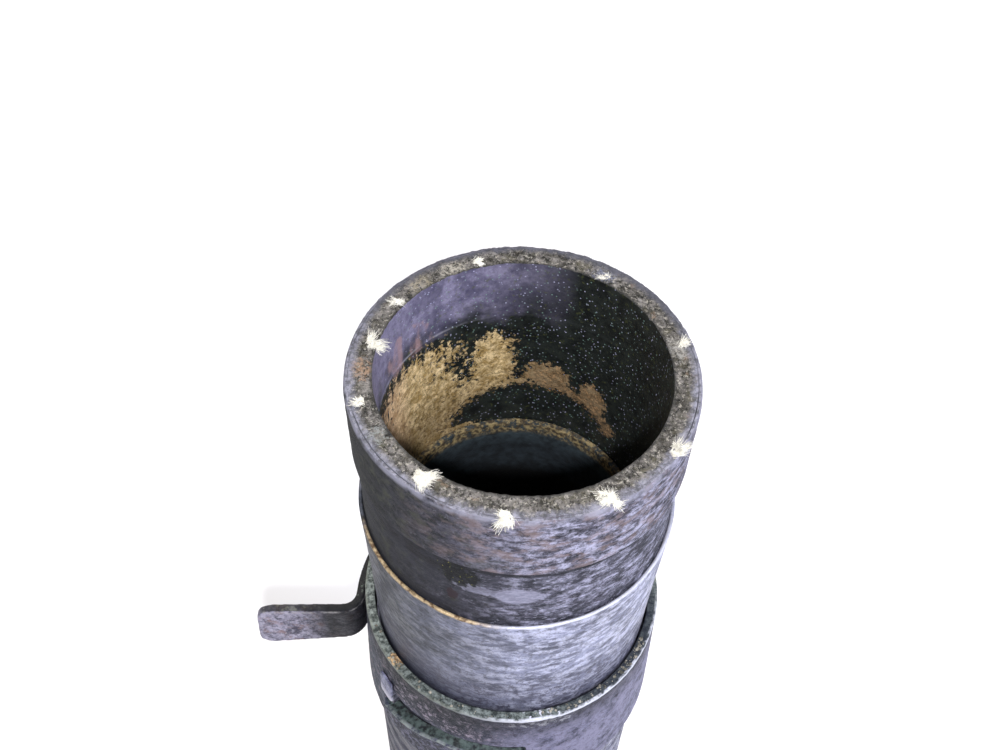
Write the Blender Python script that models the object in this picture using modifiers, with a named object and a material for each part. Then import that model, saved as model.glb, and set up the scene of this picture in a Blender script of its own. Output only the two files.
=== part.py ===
"""Quarter-turn cam coupling on a cut suction hose.

The run axis is +Z, with z = 0 on the lower hose's end face. Angles are
measured from +X towards +Y, and the lever points along -X at rest.
Lengths are in metres.
"""

from math import cos, pi, radians, sin

import bmesh
import bpy

# ---------------------------------------------------------------- hose
HOSE_BORE_RADIUS = 0.0511
TUBE_WALL = 0.0025
PLY_WALL = 0.0022
COVER_WALL = 0.0029
WRAP_WALL = 0.0014
WRAP_LENGTH = 0.032
HOSE_ABOVE_FERRULE = 0.069
YARN_COUNT = 10
YARN_LENGTH = 0.009
YARN_WIDTH = 0.0026

# ------------------------------------------------------- upper ferrule
FERRULE_LENGTH = 0.081
FERRULE_WALL = 0.0013
FERRULE_LIP_CLEARANCE = 0.0005
FERRULE_SQUEEZE = 0.0024
FERRULE_LIP_LENGTH = 0.002

# ------------------------------------------------------- male adapter
SHANK_WALL = 0.0033
SHANK_LENGTH = 0.058
SHANK_BARB_DEPTH = 0.0008
SHANK_BARB_COUNT = 4
NOSE_LUG_HEIGHT = 0.0087
NOSE_LUG_REACH = 0.0032
LUG_COUNT = 3
LUG_SPAN = radians(50)
COLLAR_THICKNESS = 0.0044
COLLAR_CLEARANCE = 0.0010

# ------------------------------------------------------- coupler bell
BELL_HEIGHT = 0.0624
BELL_WALL = 0.0064
BELL_TAPER = 0.0023
MOUTH_CLEARANCE = 0.0011
BELL_RIM_CHAMFER = 0.0005
SEAT_FLOOR = 0.0047
RING_SHELF_HEIGHT = 0.0086
GASKET_THICKNESS = 0.0047
NECK_LENGTH = 0.006
NECK_STEP = 0.0013

# ------------------------------------------------- windows in the bell
WINDOW_TOP_BELOW_RIM = 0.0246
WINDOW_HEIGHT = 0.0135
WINDOW_ABOVE_SHELF = 0.0005
WINDOW_RAMP_SPAN = radians(30)
WINDOW_CORNER = 0.003
FRONT_WINDOW_START = radians(215)
FRONT_WINDOW_SPAN = radians(64)
LEVER_WINDOW_START = radians(118.5)

# ------------------------------------------- cam ring, lugs and lever
TURN_RANGE = radians(52)
RING_WALL = 0.0026
RING_ABOVE_WINDOW = 0.0049
RING_TOOTH_HEIGHT = 0.008
RETAINER_HEIGHT = 0.0077
RETAINER_WALL = 0.0023
CAM_LUG_SPAN = radians(6)
CAM_LUG_PROUD = 0.0003
CAM_LUG_PIN_RADIUS = 0.0025
LEVER_FOOT_SPAN = radians(16)
LEVER_THICKNESS = 0.0036
LEVER_HEIGHT = 0.030
LEVER_ARM_HEIGHT = 0.0245
LEVER_RISE = 0.0078
LEVER_END_RAKE = 0.002
LEVER_BEND_RADIUS = 0.008
LEVER_GRIP_LENGTH = 0.0378
LEVER_GRIP_LEAN = radians(4.4)
LEVER_BEND_ANGLE = radians(181)
LEVER_END_CORNER = 0.007
SCREW_RADIUS = 0.0022
SCREW_HEAD_RADIUS = 0.0045
SCREW_HEAD_HEIGHT = 0.0026
SCREW_HEX = 0.0020

# --------------------------------------------------------- lower hose
TAIL_HOSE_STUB = 0.012
TAIL_FERRULE_LENGTH = 0.126
TAIL_FERRULE_WALL = 0.0034
TAIL_SHANK_LENGTH = 0.110

# --------------------------------------------------------- clearances
GAP = 0.0003
RUNNING_GAP = 0.0008
STEPS = 60

# Radii that follow from the walls.
TUBE_RADIUS = HOSE_BORE_RADIUS + TUBE_WALL
PLY_INNER = TUBE_RADIUS + GAP
PLY_RADIUS = PLY_INNER + PLY_WALL
COVER_INNER = PLY_RADIUS + GAP
COVER_RADIUS = COVER_INNER + COVER_WALL
WRAP_INNER = COVER_RADIUS + GAP
WRAP_RADIUS = WRAP_INNER + WRAP_WALL
FERRULE_LIP_RADIUS = COVER_RADIUS + FERRULE_LIP_CLEARANCE + FERRULE_WALL
FERRULE_FOOT_RADIUS = FERRULE_LIP_RADIUS - FERRULE_SQUEEZE
SHANK_RADIUS = HOSE_BORE_RADIUS - GAP
RUN_BORE_RADIUS = SHANK_RADIUS - SHANK_WALL
BELL_BORE_RADIUS = FERRULE_FOOT_RADIUS + MOUTH_CLEARANCE
BELL_FOOT_RADIUS = BELL_BORE_RADIUS + BELL_WALL
BELL_RIM_RADIUS = BELL_FOOT_RADIUS - BELL_TAPER
NECK_RADIUS = COVER_RADIUS - NECK_STEP
COLLAR_RADIUS = BELL_BORE_RADIUS - COLLAR_CLEARANCE
RING_RADIUS = BELL_BORE_RADIUS - GAP
RING_INNER = RING_RADIUS - RING_WALL
NOSE_LUG_RADIUS = RING_INNER - RUNNING_GAP
NOSE_RADIUS = NOSE_LUG_RADIUS - NOSE_LUG_REACH
GASKET_INNER = RUN_BORE_RADIUS + GAP
GASKET_RADIUS = NOSE_LUG_RADIUS
TAIL_FERRULE_INNER = COVER_RADIUS + GAP
TAIL_FERRULE_RADIUS = TAIL_FERRULE_INNER + TAIL_FERRULE_WALL

# Heights, stacked from the lower end face upwards.
TAIL_FERRULE_TOP = TAIL_HOSE_STUB + TAIL_FERRULE_LENGTH
NECK_FOOT = TAIL_FERRULE_TOP + GAP
BELL_FOOT = NECK_FOOT + NECK_LENGTH
BELL_RIM = BELL_FOOT + BELL_HEIGHT
SEAT = BELL_FOOT + SEAT_FLOOR
RING_SHELF = BELL_FOOT + RING_SHELF_HEIGHT
NOSE_FACE = SEAT + GAP + GASKET_THICKNESS + GAP
NOSE_LUG_TOP = NOSE_FACE + NOSE_LUG_HEIGHT
WINDOW_TOP = BELL_RIM - WINDOW_TOP_BELOW_RIM
WINDOW_FOOT = WINDOW_TOP - WINDOW_HEIGHT
WINDOW_RAMP_DROP = WINDOW_FOOT - RING_SHELF - WINDOW_ABOVE_SHELF
RING_FOOT = RING_SHELF + GAP
RING_TOP = WINDOW_TOP + RING_ABOVE_WINDOW
TOOTH_FOOT = NOSE_LUG_TOP + RUNNING_GAP
RETAINER_FOOT = RING_TOP + GAP
RETAINER_TOP = RETAINER_FOOT + RETAINER_HEIGHT
COLLAR_FOOT = RETAINER_TOP + GAP
COLLAR_TOP = COLLAR_FOOT + COLLAR_THICKNESS
HOSE_FOOT = COLLAR_TOP + GAP
FERRULE_TOP = HOSE_FOOT + FERRULE_LENGTH
HOSE_TOP = FERRULE_TOP + HOSE_ABOVE_FERRULE
SHANK_TOP = HOSE_FOOT + SHANK_LENGTH
WINDOW_MIDDLE = (WINDOW_TOP + WINDOW_FOOT) / 2
LEVER_TOP = WINDOW_TOP + LEVER_RISE
LEVER_CENTRE = LEVER_TOP - LEVER_HEIGHT / 2
LEVER_ARM_FOOT = LEVER_TOP - LEVER_ARM_HEIGHT


def bell_radius(height):
    """Outer radius of the bell, which widens downwards."""
    return BELL_FOOT_RADIUS - BELL_TAPER * (height - BELL_FOOT) / BELL_HEIGHT


LEVER_INNER = bell_radius(LEVER_ARM_FOOT) + GAP
LEVER_MIDDLE = LEVER_INNER + LEVER_THICKNESS / 2
CAM_LUG_RADIUS = bell_radius(WINDOW_FOOT) + CAM_LUG_PROUD

COLLECTION = "camlock_coupling"
CUTTERS = "cutters"


# ------------------------------------------------------------ helpers
def clear_scene():
    for item in list(bpy.data.objects):
        bpy.data.objects.remove(item, do_unlink=True)


def collection(name):
    group = bpy.data.collections.new(name)
    bpy.context.scene.collection.children.link(group)
    return group


def material(name, colour, roughness, metallic=0.0):
    shade = bpy.data.materials.new(name)
    shade.use_nodes = True
    shader = shade.node_tree.nodes["Principled BSDF"]
    shader.inputs["Base Color"].default_value = (*colour, 1.0)
    shader.inputs["Roughness"].default_value = roughness
    shader.inputs["Metallic"].default_value = metallic
    return shade


def add_object(name, mesh, group, shade=None):
    item = bpy.data.objects.new(name, mesh)
    bpy.data.collections[group].objects.link(item)
    if shade:
        mesh.materials.append(shade)
    if group == CUTTERS:
        item.hide_render = True
        item.display_type = "WIRE"
    return item


def smooth(mesh, angle=radians(35)):
    mesh.shade_smooth()
    mesh.set_sharp_from_angle(angle=angle)


def turned(name, profile, shade, group=COLLECTION, steps=STEPS):
    """Revolve a closed (radius, height) loop about Z.

    The loop runs down the outer side and back up the inner side. A loop
    point at radius 0 lies on the axis.
    """
    mesh = bpy.data.meshes.new(name)
    points = [(radius, 0.0, height) for radius, height in profile]
    edges = [(i, (i + 1) % len(points)) for i in range(len(points))]
    if points[0][0] == 0.0 and points[-1][0] == 0.0:
        edges.pop()
    mesh.from_pydata(points, edges, [])
    item = add_object(name, mesh, group, shade)
    spin = item.modifiers.new("turn", "SCREW")
    spin.axis = "Z"
    spin.steps = steps
    spin.render_steps = steps
    spin.use_merge_vertices = True
    spin.merge_threshold = 0.00005
    spin.use_smooth_shade = True
    return item


def boolean(item, other, operation):
    step = item.modifiers.new(operation.lower() + " " + other.name, "BOOLEAN")
    step.operation = operation
    step.object = other
    step.solver = "EXACT"
    return step


def outline_mesh(name, points, half_depth):
    """Fill a flat outline, give it depth and return it as a closed mesh."""
    curve = bpy.data.curves.new(name, "CURVE")
    curve.dimensions = "2D"
    curve.fill_mode = "BOTH"
    curve.extrude = half_depth
    spline = curve.splines.new("POLY")
    spline.points.add(len(points) - 1)
    for point, (x, y) in zip(spline.points, points):
        point.co = (x, y, 0.0, 1.0)
    spline.use_cyclic_u = True
    holder = bpy.data.objects.new(name, curve)
    bpy.context.scene.collection.objects.link(holder)
    bpy.context.view_layer.update()
    evaluated = holder.evaluated_get(bpy.context.evaluated_depsgraph_get())
    mesh = bpy.data.meshes.new_from_object(evaluated)
    bpy.data.objects.remove(holder, do_unlink=True)
    shape = bmesh.new()
    shape.from_mesh(mesh)
    bmesh.ops.remove_doubles(shape, verts=shape.verts, dist=0.000005)
    bmesh.ops.recalc_face_normals(shape, faces=shape.faces)
    shape.to_mesh(mesh)
    shape.free()
    return mesh


def bent_plate(name, outline, inner, outer, shade=None, group=CUTTERS, step=radians(3)):
    """Bend a flat outline of (angle, height) points round the run axis."""
    middle = (inner + outer) / 2
    flat = [(angle * middle, height) for angle, height in outline]
    mesh = outline_mesh(name, flat, (outer - inner) / 2)
    shape = bmesh.new()
    shape.from_mesh(mesh)
    first = min(x for x, _ in flat)
    last = max(x for x, _ in flat)
    cuts = max(1, round((last - first) / (middle * step)))
    for i in range(1, cuts):
        place = first + (last - first) * i / cuts
        bmesh.ops.bisect_plane(
            shape,
            geom=shape.verts[:] + shape.edges[:] + shape.faces[:],
            plane_co=(place, 0, 0),
            plane_no=(1, 0, 0),
            dist=0.00001,
        )
    for vert in shape.verts:
        angle = vert.co.x / middle
        radius = middle + vert.co.z
        vert.co = (radius * cos(angle), radius * sin(angle), vert.co.y)
    bmesh.ops.recalc_face_normals(shape, faces=shape.faces)
    shape.to_mesh(mesh)
    shape.free()
    return add_object(name, mesh, group, shade)


def rectangle(start, span, foot, top):
    """Corners of a patch of the cylinder, as (angle, height)."""
    return [(start, foot), (start + span, foot), (start + span, top), (start, top)]


def radial_cylinder(name, radius, inner, outer, angle, height):
    """A cutter whose axis points straight out from the run axis."""
    shape = bmesh.new()
    bmesh.ops.create_cone(
        shape,
        cap_ends=True,
        segments=20,
        radius1=radius,
        radius2=radius,
        depth=outer - inner,
    )
    mesh = bpy.data.meshes.new(name)
    shape.to_mesh(mesh)
    shape.free()
    item = add_object(name, mesh, CUTTERS)
    middle = (inner + outer) / 2
    item.location = (middle * cos(angle), middle * sin(angle), height)
    item.rotation_euler = (0, pi / 2, angle)
    return item


# --------------------------------------------------------------- hose
def ferrule_radius(height):
    """Outer radius of the slightly barrelled ferrule."""
    share = (FERRULE_TOP - height) / FERRULE_LENGTH
    return FERRULE_LIP_RADIUS + (FERRULE_FOOT_RADIUS - FERRULE_LIP_RADIUS) * share**1.3


def cover_radius(height):
    """Outer radius of the cover, which the ferrule squeezes lower down."""
    return min(COVER_RADIUS, ferrule_radius(height) - FERRULE_WALL - GAP)


def ferrule_heights(count):
    return [FERRULE_TOP - FERRULE_LENGTH * i / count for i in range(count + 1)]


def pipe(name, inner, outer, foot, top, shade):
    profile = [(outer, top), (outer, foot), (inner, foot), (inner, top)]
    return turned(name, profile, shade)


def hose(shades):
    tube = pipe("hose_tube", HOSE_BORE_RADIUS, TUBE_RADIUS, HOSE_FOOT, HOSE_TOP, shades["rubber"])
    ply = pipe("hose_ply", PLY_INNER, PLY_RADIUS, HOSE_FOOT, HOSE_TOP, shades["ply"])
    profile = [(COVER_RADIUS, HOSE_TOP)]
    profile += [(cover_radius(height), height) for height in ferrule_heights(5)]
    profile += [(COVER_INNER, HOSE_FOOT), (COVER_INNER, HOSE_TOP)]
    cover = turned("hose_cover", profile, shades["rubber"])
    edge = WRAP_WALL / 2
    profile = [
        (WRAP_RADIUS - edge, HOSE_TOP),
        (WRAP_RADIUS, HOSE_TOP - edge),
        (WRAP_RADIUS, HOSE_TOP - WRAP_LENGTH + edge),
        (WRAP_RADIUS - edge, HOSE_TOP - WRAP_LENGTH),
        (WRAP_INNER, HOSE_TOP - WRAP_LENGTH),
        (WRAP_INNER, HOSE_TOP),
    ]
    wrap = turned("hose_end_wrap", profile, shades["rubber"])
    return [tube, ply, cover, wrap]


def yarn_ends(shades):
    """Frayed reinforcement yarn lying on the cut face, one tuft to a bundle."""
    tufts = []
    shape = bmesh.new()
    bmesh.ops.create_icosphere(shape, subdivisions=2, radius=0.5)
    bmesh.ops.scale(shape, vec=(YARN_WIDTH, YARN_LENGTH, YARN_WIDTH * 0.7), verts=shape.verts)
    mesh = bpy.data.meshes.new("yarn_end")
    shape.to_mesh(mesh)
    shape.free()
    mesh.materials.append(shades["yarn"])
    smooth(mesh, pi)
    middle = (PLY_INNER + PLY_RADIUS) / 2
    for i in range(YARN_COUNT):
        angle = radians(16) + 2 * pi * i / YARN_COUNT
        tuft = add_object("yarn_end_%02d" % (i + 1), mesh, COLLECTION)
        lift = HOSE_TOP + GAP + YARN_WIDTH * 0.35
        tuft.location = (middle * cos(angle), middle * sin(angle), lift)
        tuft.rotation_euler = (0, 0, angle)
        tufts.append(tuft)
    return tufts


def ferrule(shades):
    """Pressed steel sleeve with a rolled lip at its upper end."""
    roll = FERRULE_WALL / 2
    outer = [(ferrule_radius(height), height) for height in ferrule_heights(6)[1:]]
    inner = [(radius - FERRULE_WALL, height) for radius, height in reversed(outer)]
    lip = [
        (FERRULE_LIP_RADIUS - roll, FERRULE_TOP),
        (FERRULE_LIP_RADIUS, FERRULE_TOP - roll),
        (FERRULE_LIP_RADIUS, FERRULE_TOP - FERRULE_LIP_LENGTH),
    ]
    bottom = FERRULE_LIP_RADIUS - FERRULE_WALL
    profile = lip + outer + inner + [(bottom, FERRULE_TOP - FERRULE_LIP_LENGTH), (bottom, FERRULE_TOP)]
    return turned("ferrule", profile, shades["sleeve"])


def barbs(top, foot, count):
    """Saw-tooth outer side of a shank, from its tip down to its root."""
    points = [(SHANK_RADIUS - SHANK_BARB_DEPTH, top)]
    pitch = (top - foot) / (count + 1)
    for i in range(count):
        crest = top - pitch * (i + 1)
        points.append((SHANK_RADIUS, crest))
        points.append((SHANK_RADIUS - SHANK_BARB_DEPTH, crest))
    points.append((SHANK_RADIUS - SHANK_BARB_DEPTH, foot))
    return points


def adapter(shades):
    """Male half: barbed shank, stop collar and nose with bayonet lugs."""
    profile = barbs(SHANK_TOP, COLLAR_TOP, SHANK_BARB_COUNT)
    profile += [
        (COLLAR_RADIUS, COLLAR_TOP),
        (COLLAR_RADIUS, COLLAR_FOOT),
        (NOSE_RADIUS, COLLAR_FOOT),
        (NOSE_RADIUS, NOSE_FACE),
        (RUN_BORE_RADIUS, NOSE_FACE),
        (RUN_BORE_RADIUS, SHANK_TOP),
    ]
    item = turned("adapter", profile, shades["cast"])
    foot = NOSE_FACE + GAP
    for i in range(LUG_COUNT):
        start = 2 * pi * i / LUG_COUNT - LUG_SPAN / 2
        patch = rectangle(start, LUG_SPAN, foot, NOSE_LUG_TOP)
        lug = bent_plate("nose_lug_%d" % (i + 1), patch, NOSE_RADIUS - 0.001, NOSE_LUG_RADIUS)
        boolean(item, lug, "UNION")
    return item


# ------------------------------------------------------------ coupler
def window_outline(start, span, ramp_drop):
    """Round-ended slot whose lower ledge ramps down towards its start."""
    corner = WINDOW_CORNER
    turn = corner / BELL_FOOT_RADIUS
    end = start + span
    foot = WINDOW_FOOT - ramp_drop
    arcs = [
        (start + turn, foot + corner, pi, 1.5 * pi),
        (end - turn, WINDOW_FOOT + corner, 1.5 * pi, 2 * pi),
        (end - turn, WINDOW_TOP - corner, 0, 0.5 * pi),
        (start + turn, WINDOW_TOP - corner, 0.5 * pi, pi),
    ]
    points = []
    for number, (angle, height, first, last) in enumerate(arcs):
        for i in range(4):
            sweep = first + (last - first) * i / 3
            points.append((angle + turn * cos(sweep), height + corner * sin(sweep)))
        if number == 0 and ramp_drop:
            points.append((start + WINDOW_RAMP_SPAN, WINDOW_FOOT))
    return points


def coupler_body(shades):
    """Female half: bell, gasket seat, neck and barbed tail in one casting."""
    chamfer = BELL_RIM_CHAMFER
    profile = [
        (BELL_RIM_RADIUS - chamfer, BELL_RIM),
        (BELL_RIM_RADIUS, BELL_RIM - chamfer),
        (BELL_FOOT_RADIUS, BELL_FOOT),
        (NECK_RADIUS, BELL_FOOT),
        (NECK_RADIUS, NECK_FOOT),
    ]
    tail_tip = NECK_FOOT - TAIL_SHANK_LENGTH
    profile += [(radius, NECK_FOOT + tail_tip - height) for radius, height in
                reversed(barbs(NECK_FOOT, tail_tip, SHANK_BARB_COUNT))]
    profile += [
        (RUN_BORE_RADIUS, tail_tip),
        (RUN_BORE_RADIUS, SEAT),
        (GASKET_RADIUS + GAP, SEAT),
        (GASKET_RADIUS + GAP, RING_SHELF),
        (BELL_BORE_RADIUS, RING_SHELF),
        (BELL_BORE_RADIUS, BELL_RIM),
    ]
    item = turned("coupler_body", profile, shades["cast"])
    reach = 0.001
    lever_span = LEVER_FOOT_SPAN + TURN_RANGE + 2 * WINDOW_CORNER / BELL_FOOT_RADIUS
    windows = {
        "front_window": window_outline(FRONT_WINDOW_START, FRONT_WINDOW_SPAN, WINDOW_RAMP_DROP),
        "rear_window": window_outline(FRONT_WINDOW_START - pi, FRONT_WINDOW_SPAN, WINDOW_RAMP_DROP),
        "lever_window": window_outline(LEVER_WINDOW_START, lever_span, 0.0),
    }
    for name, outline in windows.items():
        cutter = bent_plate(name, outline, BELL_BORE_RADIUS - reach, BELL_FOOT_RADIUS + reach)
        boolean(item, cutter, "DIFFERENCE")
    return item


def seals(shades):
    gasket = pipe("gasket", GASKET_INNER, GASKET_RADIUS, SEAT + GAP, NOSE_FACE - GAP, shades["seal"])
    inner = RING_RADIUS - RETAINER_WALL
    retainer = pipe("retaining_ring", inner, RING_RADIUS, RETAINER_FOOT, RETAINER_TOP, shades["steel"])
    return [gasket, retainer]


def tail(shades):
    """Lower hose stub, pushed over the tail and held by its own ferrule."""
    top = NECK_FOOT - GAP
    return [
        pipe("tail_hose_tube", HOSE_BORE_RADIUS, TUBE_RADIUS, 0.0, top, shades["rubber"]),
        pipe("tail_hose_ply", PLY_INNER, PLY_RADIUS, 0.0, top, shades["ply"]),
        pipe("tail_hose_cover", COVER_INNER, COVER_RADIUS, 0.0, top, shades["rubber"]),
        pipe("tail_ferrule", TAIL_FERRULE_INNER, TAIL_FERRULE_RADIUS, TAIL_HOSE_STUB, top, shades["sleeve"]),
    ]


# ----------------------------------------------------------- cam ring
def screw(name, seat_radius, angle, height, shades):
    """Socket-head screw pointing inwards, its head standing on seat_radius."""
    tip = RING_INNER + GAP - seat_radius
    profile = [
        (0.0, SCREW_HEAD_HEIGHT),
        (SCREW_HEAD_RADIUS * 0.88, SCREW_HEAD_HEIGHT),
        (SCREW_HEAD_RADIUS, SCREW_HEAD_HEIGHT * 0.8),
        (SCREW_HEAD_RADIUS, GAP),
        (SCREW_RADIUS, GAP),
        (SCREW_RADIUS, tip),
        (0.0, tip),
    ]
    item = turned(name, profile, shades["steel"], steps=20)
    shape = bmesh.new()
    depth = SCREW_HEAD_HEIGHT
    bmesh.ops.create_cone(shape, cap_ends=True, segments=6, radius1=SCREW_HEX, radius2=SCREW_HEX, depth=depth)
    mesh = bpy.data.meshes.new(name + "_socket")
    shape.to_mesh(mesh)
    shape.free()
    socket = add_object(name + "_socket", mesh, CUTTERS)
    place = (seat_radius * cos(angle), seat_radius * sin(angle), height)
    item.location = place
    item.rotation_euler = (0, pi / 2, angle)
    rise = seat_radius + SCREW_HEAD_HEIGHT
    socket.location = (rise * cos(angle), rise * sin(angle), height)
    socket.rotation_euler = (0, pi / 2, angle)
    boolean(item, socket, "DIFFERENCE")
    return item


def cam_ring(shades):
    """Ring that turns behind the windows, its teeth gripping the nose lugs."""
    item = pipe("cam_ring", RING_INNER, RING_RADIUS, RING_FOOT, RING_TOP, shades["steel"])
    gap_middle = pi / LUG_COUNT
    for i in range(LUG_COUNT):
        start = 2 * pi * i / LUG_COUNT + gap_middle - LUG_SPAN / 2
        patch = rectangle(start, LUG_SPAN, TOOTH_FOOT, TOOTH_FOOT + RING_TOOTH_HEIGHT)
        tooth = bent_plate("ring_tooth_%d" % (i + 1), patch, NOSE_RADIUS + RUNNING_GAP, RING_RADIUS - 0.001)
        boolean(item, tooth, "UNION")
    return item


def cam_lug(name, start, shades):
    """Block on the ring that shows in a window and runs along it."""
    patch = rectangle(start, CAM_LUG_SPAN, WINDOW_FOOT + RUNNING_GAP, WINDOW_TOP - RUNNING_GAP)
    item = bent_plate(name, patch, RING_RADIUS + GAP, CAM_LUG_RADIUS, shades["steel"], COLLECTION)
    angle = start + CAM_LUG_SPAN / 2
    inner = RING_INNER + GAP
    outer = RING_RADIUS + 2 * GAP + CAM_LUG_PIN_RADIUS / 2
    pin = radial_cylinder(name + "_pin", CAM_LUG_PIN_RADIUS, inner, outer, angle, WINDOW_MIDDLE)
    boolean(item, pin, "UNION")
    return item


def lever_path():
    """Centre line of the lever in plan, each point with its direction."""
    points = []
    start = LEVER_WINDOW_START + WINDOW_CORNER / BELL_FOOT_RADIUS
    for i in range(15):
        angle = start + (LEVER_BEND_ANGLE - start) * i / 14
        points.append((LEVER_MIDDLE * cos(angle), LEVER_MIDDLE * sin(angle), angle + pi / 2))
    x, y, heading = points[-1]
    centre_x = x + LEVER_BEND_RADIUS * cos(heading - pi / 2)
    centre_y = y + LEVER_BEND_RADIUS * sin(heading - pi / 2)
    turn = heading - pi - LEVER_GRIP_LEAN
    for i in range(1, 9):
        now = heading - turn * i / 8
        points.append((
            centre_x + LEVER_BEND_RADIUS * cos(now + pi / 2),
            centre_y + LEVER_BEND_RADIUS * sin(now + pi / 2),
            now,
        ))
    x, y, heading = points[-1]
    points.append((x + LEVER_GRIP_LENGTH * cos(heading), y + LEVER_GRIP_LENGTH * sin(heading), heading))
    return points


def lever(shades):
    """Flat bar on edge: it hugs the bell, then bends outwards into a grip."""
    path = lever_path()
    half = LEVER_THICKNESS / 2
    left = [(x - half * sin(way), y + half * cos(way)) for x, y, way in path]
    right = [(x + half * sin(way), y - half * cos(way)) for x, y, way in path]
    mesh = outline_mesh("lever", left + right[::-1], LEVER_HEIGHT / 2)
    shape = bmesh.new()
    shape.from_mesh(mesh)
    tip = path[-1]
    taper_underside(shape, tip)
    corners = [edge for edge in shape.edges if is_grip_corner(edge, tip, half)]
    bmesh.ops.bevel(shape, geom=corners, offset=LEVER_END_CORNER, segments=5, affect="EDGES", profile=0.5)
    shape.to_mesh(mesh)
    shape.free()
    smooth(mesh)
    item = add_object("lever", mesh, COLLECTION, shades["forged"])
    item.location = (0, 0, LEVER_CENTRE)
    edge = item.modifiers.new("broken edges", "BEVEL")
    edge.width = 0.0005
    edge.segments = 1
    edge.limit_method = "ANGLE"
    edge.angle_limit = radians(50)
    return item


def taper_underside(shape, tip):
    """Raise the underside towards the arm and rake the grip's end."""
    x, y, way = tip
    reach = (x * x + y * y) ** 0.5 - LEVER_MIDDLE
    for vert in shape.verts:
        if vert.co.z > 0:
            continue
        out = (vert.co.x**2 + vert.co.y**2) ** 0.5 - LEVER_MIDDLE
        share = min(1.0, max(0.0, out / reach))
        vert.co.z += (LEVER_HEIGHT - LEVER_ARM_HEIGHT) * (1 - share)
        if share > 0.9:
            vert.co.x += LEVER_END_RAKE * cos(way)
            vert.co.y += LEVER_END_RAKE * sin(way)


def is_grip_corner(edge, tip, half):
    """True for the two short edges across the bar at its free end."""
    reach = 2 * half + LEVER_END_RAKE
    near = all(abs(vert.co.x - tip[0]) < reach and abs(vert.co.y - tip[1]) < reach for vert in edge.verts)
    level = abs(edge.verts[0].co.z - edge.verts[1].co.z) < half
    return near and level


def cam_assembly(shades):
    ring = cam_ring(shades)
    rear_start = FRONT_WINDOW_START - pi + radians(1)
    front_start = FRONT_WINDOW_START + radians(1)
    front = cam_lug("front_lug", front_start, shades)
    rear = cam_lug("rear_lug", rear_start, shades)
    foot_start = LEVER_WINDOW_START + WINDOW_CORNER / BELL_FOOT_RADIUS
    patch = rectangle(foot_start, LEVER_FOOT_SPAN, WINDOW_FOOT + RUNNING_GAP, WINDOW_TOP - RUNNING_GAP)
    foot = bent_plate(
        "lever_foot", patch, RING_RADIUS + GAP, LEVER_INNER - GAP, shades["steel"], COLLECTION
    )
    arm = lever(shades)
    pieces = [ring, front, rear, foot, arm]
    seat = LEVER_INNER + LEVER_THICKNESS
    for i, share in enumerate((0.22, 0.78)):
        name = "lever_screw_%d" % (i + 1)
        angle = foot_start + LEVER_FOOT_SPAN * share
        drill(name, (ring, foot, arm), SCREW_RADIUS, angle)
        pieces.append(screw(name, seat, angle, WINDOW_MIDDLE, shades))
    for name, start in (("front_lug", front_start), ("rear_lug", rear_start)):
        drill(name, (ring,), CAM_LUG_PIN_RADIUS, start + CAM_LUG_SPAN / 2)
    return pieces


def drill(name, pieces, radius, angle):
    """Clearance hole for a radial screw or pin through each of the pieces."""
    outer = LEVER_INNER + 2 * LEVER_THICKNESS
    hole = radial_cylinder(name + "_hole", radius + GAP, NOSE_RADIUS, outer, angle, WINDOW_MIDDLE)
    for piece in pieces:
        boolean(piece, hole, "DIFFERENCE")


# ----------------------------------------------------------- assembly
def hang_on_axis(name, height, pieces):
    """Parent a moving body's pieces to an empty on the run axis."""
    axis = bpy.data.objects.new(name, None)
    axis.location = (0, 0, height)
    bpy.data.collections[COLLECTION].objects.link(axis)
    bpy.context.view_layer.update()
    for piece in pieces:
        piece.parent = axis
        piece.matrix_parent_inverse = axis.matrix_world.inverted()
    return axis


def build():
    clear_scene()
    collection(COLLECTION)
    collection(CUTTERS)
    shades = {
        "rubber": material("black rubber", (0.045, 0.045, 0.050), 0.75),
        "ply": material("rubbered cord ply", (0.090, 0.080, 0.065), 0.90),
        "yarn": material("polyester yarn", (0.80, 0.76, 0.62), 0.90),
        "sleeve": material("pressed steel", (0.26, 0.26, 0.31), 0.45, 0.8),
        "cast": material("cast iron", (0.17, 0.16, 0.20), 0.60, 0.7),
        "steel": material("machined steel", (0.20, 0.20, 0.22), 0.45, 0.9),
        "forged": material("forged steel bar", (0.14, 0.12, 0.15), 0.60, 0.7),
        "seal": material("nitrile seal", (0.020, 0.020, 0.020), 0.60),
    }
    hose_end = hose(shades) + yarn_ends(shades) + [ferrule(shades), adapter(shades)]
    coupler_body(shades)
    seals(shades)
    tail(shades)
    hang_on_axis("hose_swivel_axis", NOSE_FACE, hose_end)
    hang_on_axis("cam_ring_axis", RING_FOOT, cam_assembly(shades))


build()
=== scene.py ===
import random
from math import atan2, cos, degrees, hypot, pi, radians, sin

import bmesh
import bpy
from mathutils import Matrix, Vector, noise


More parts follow.
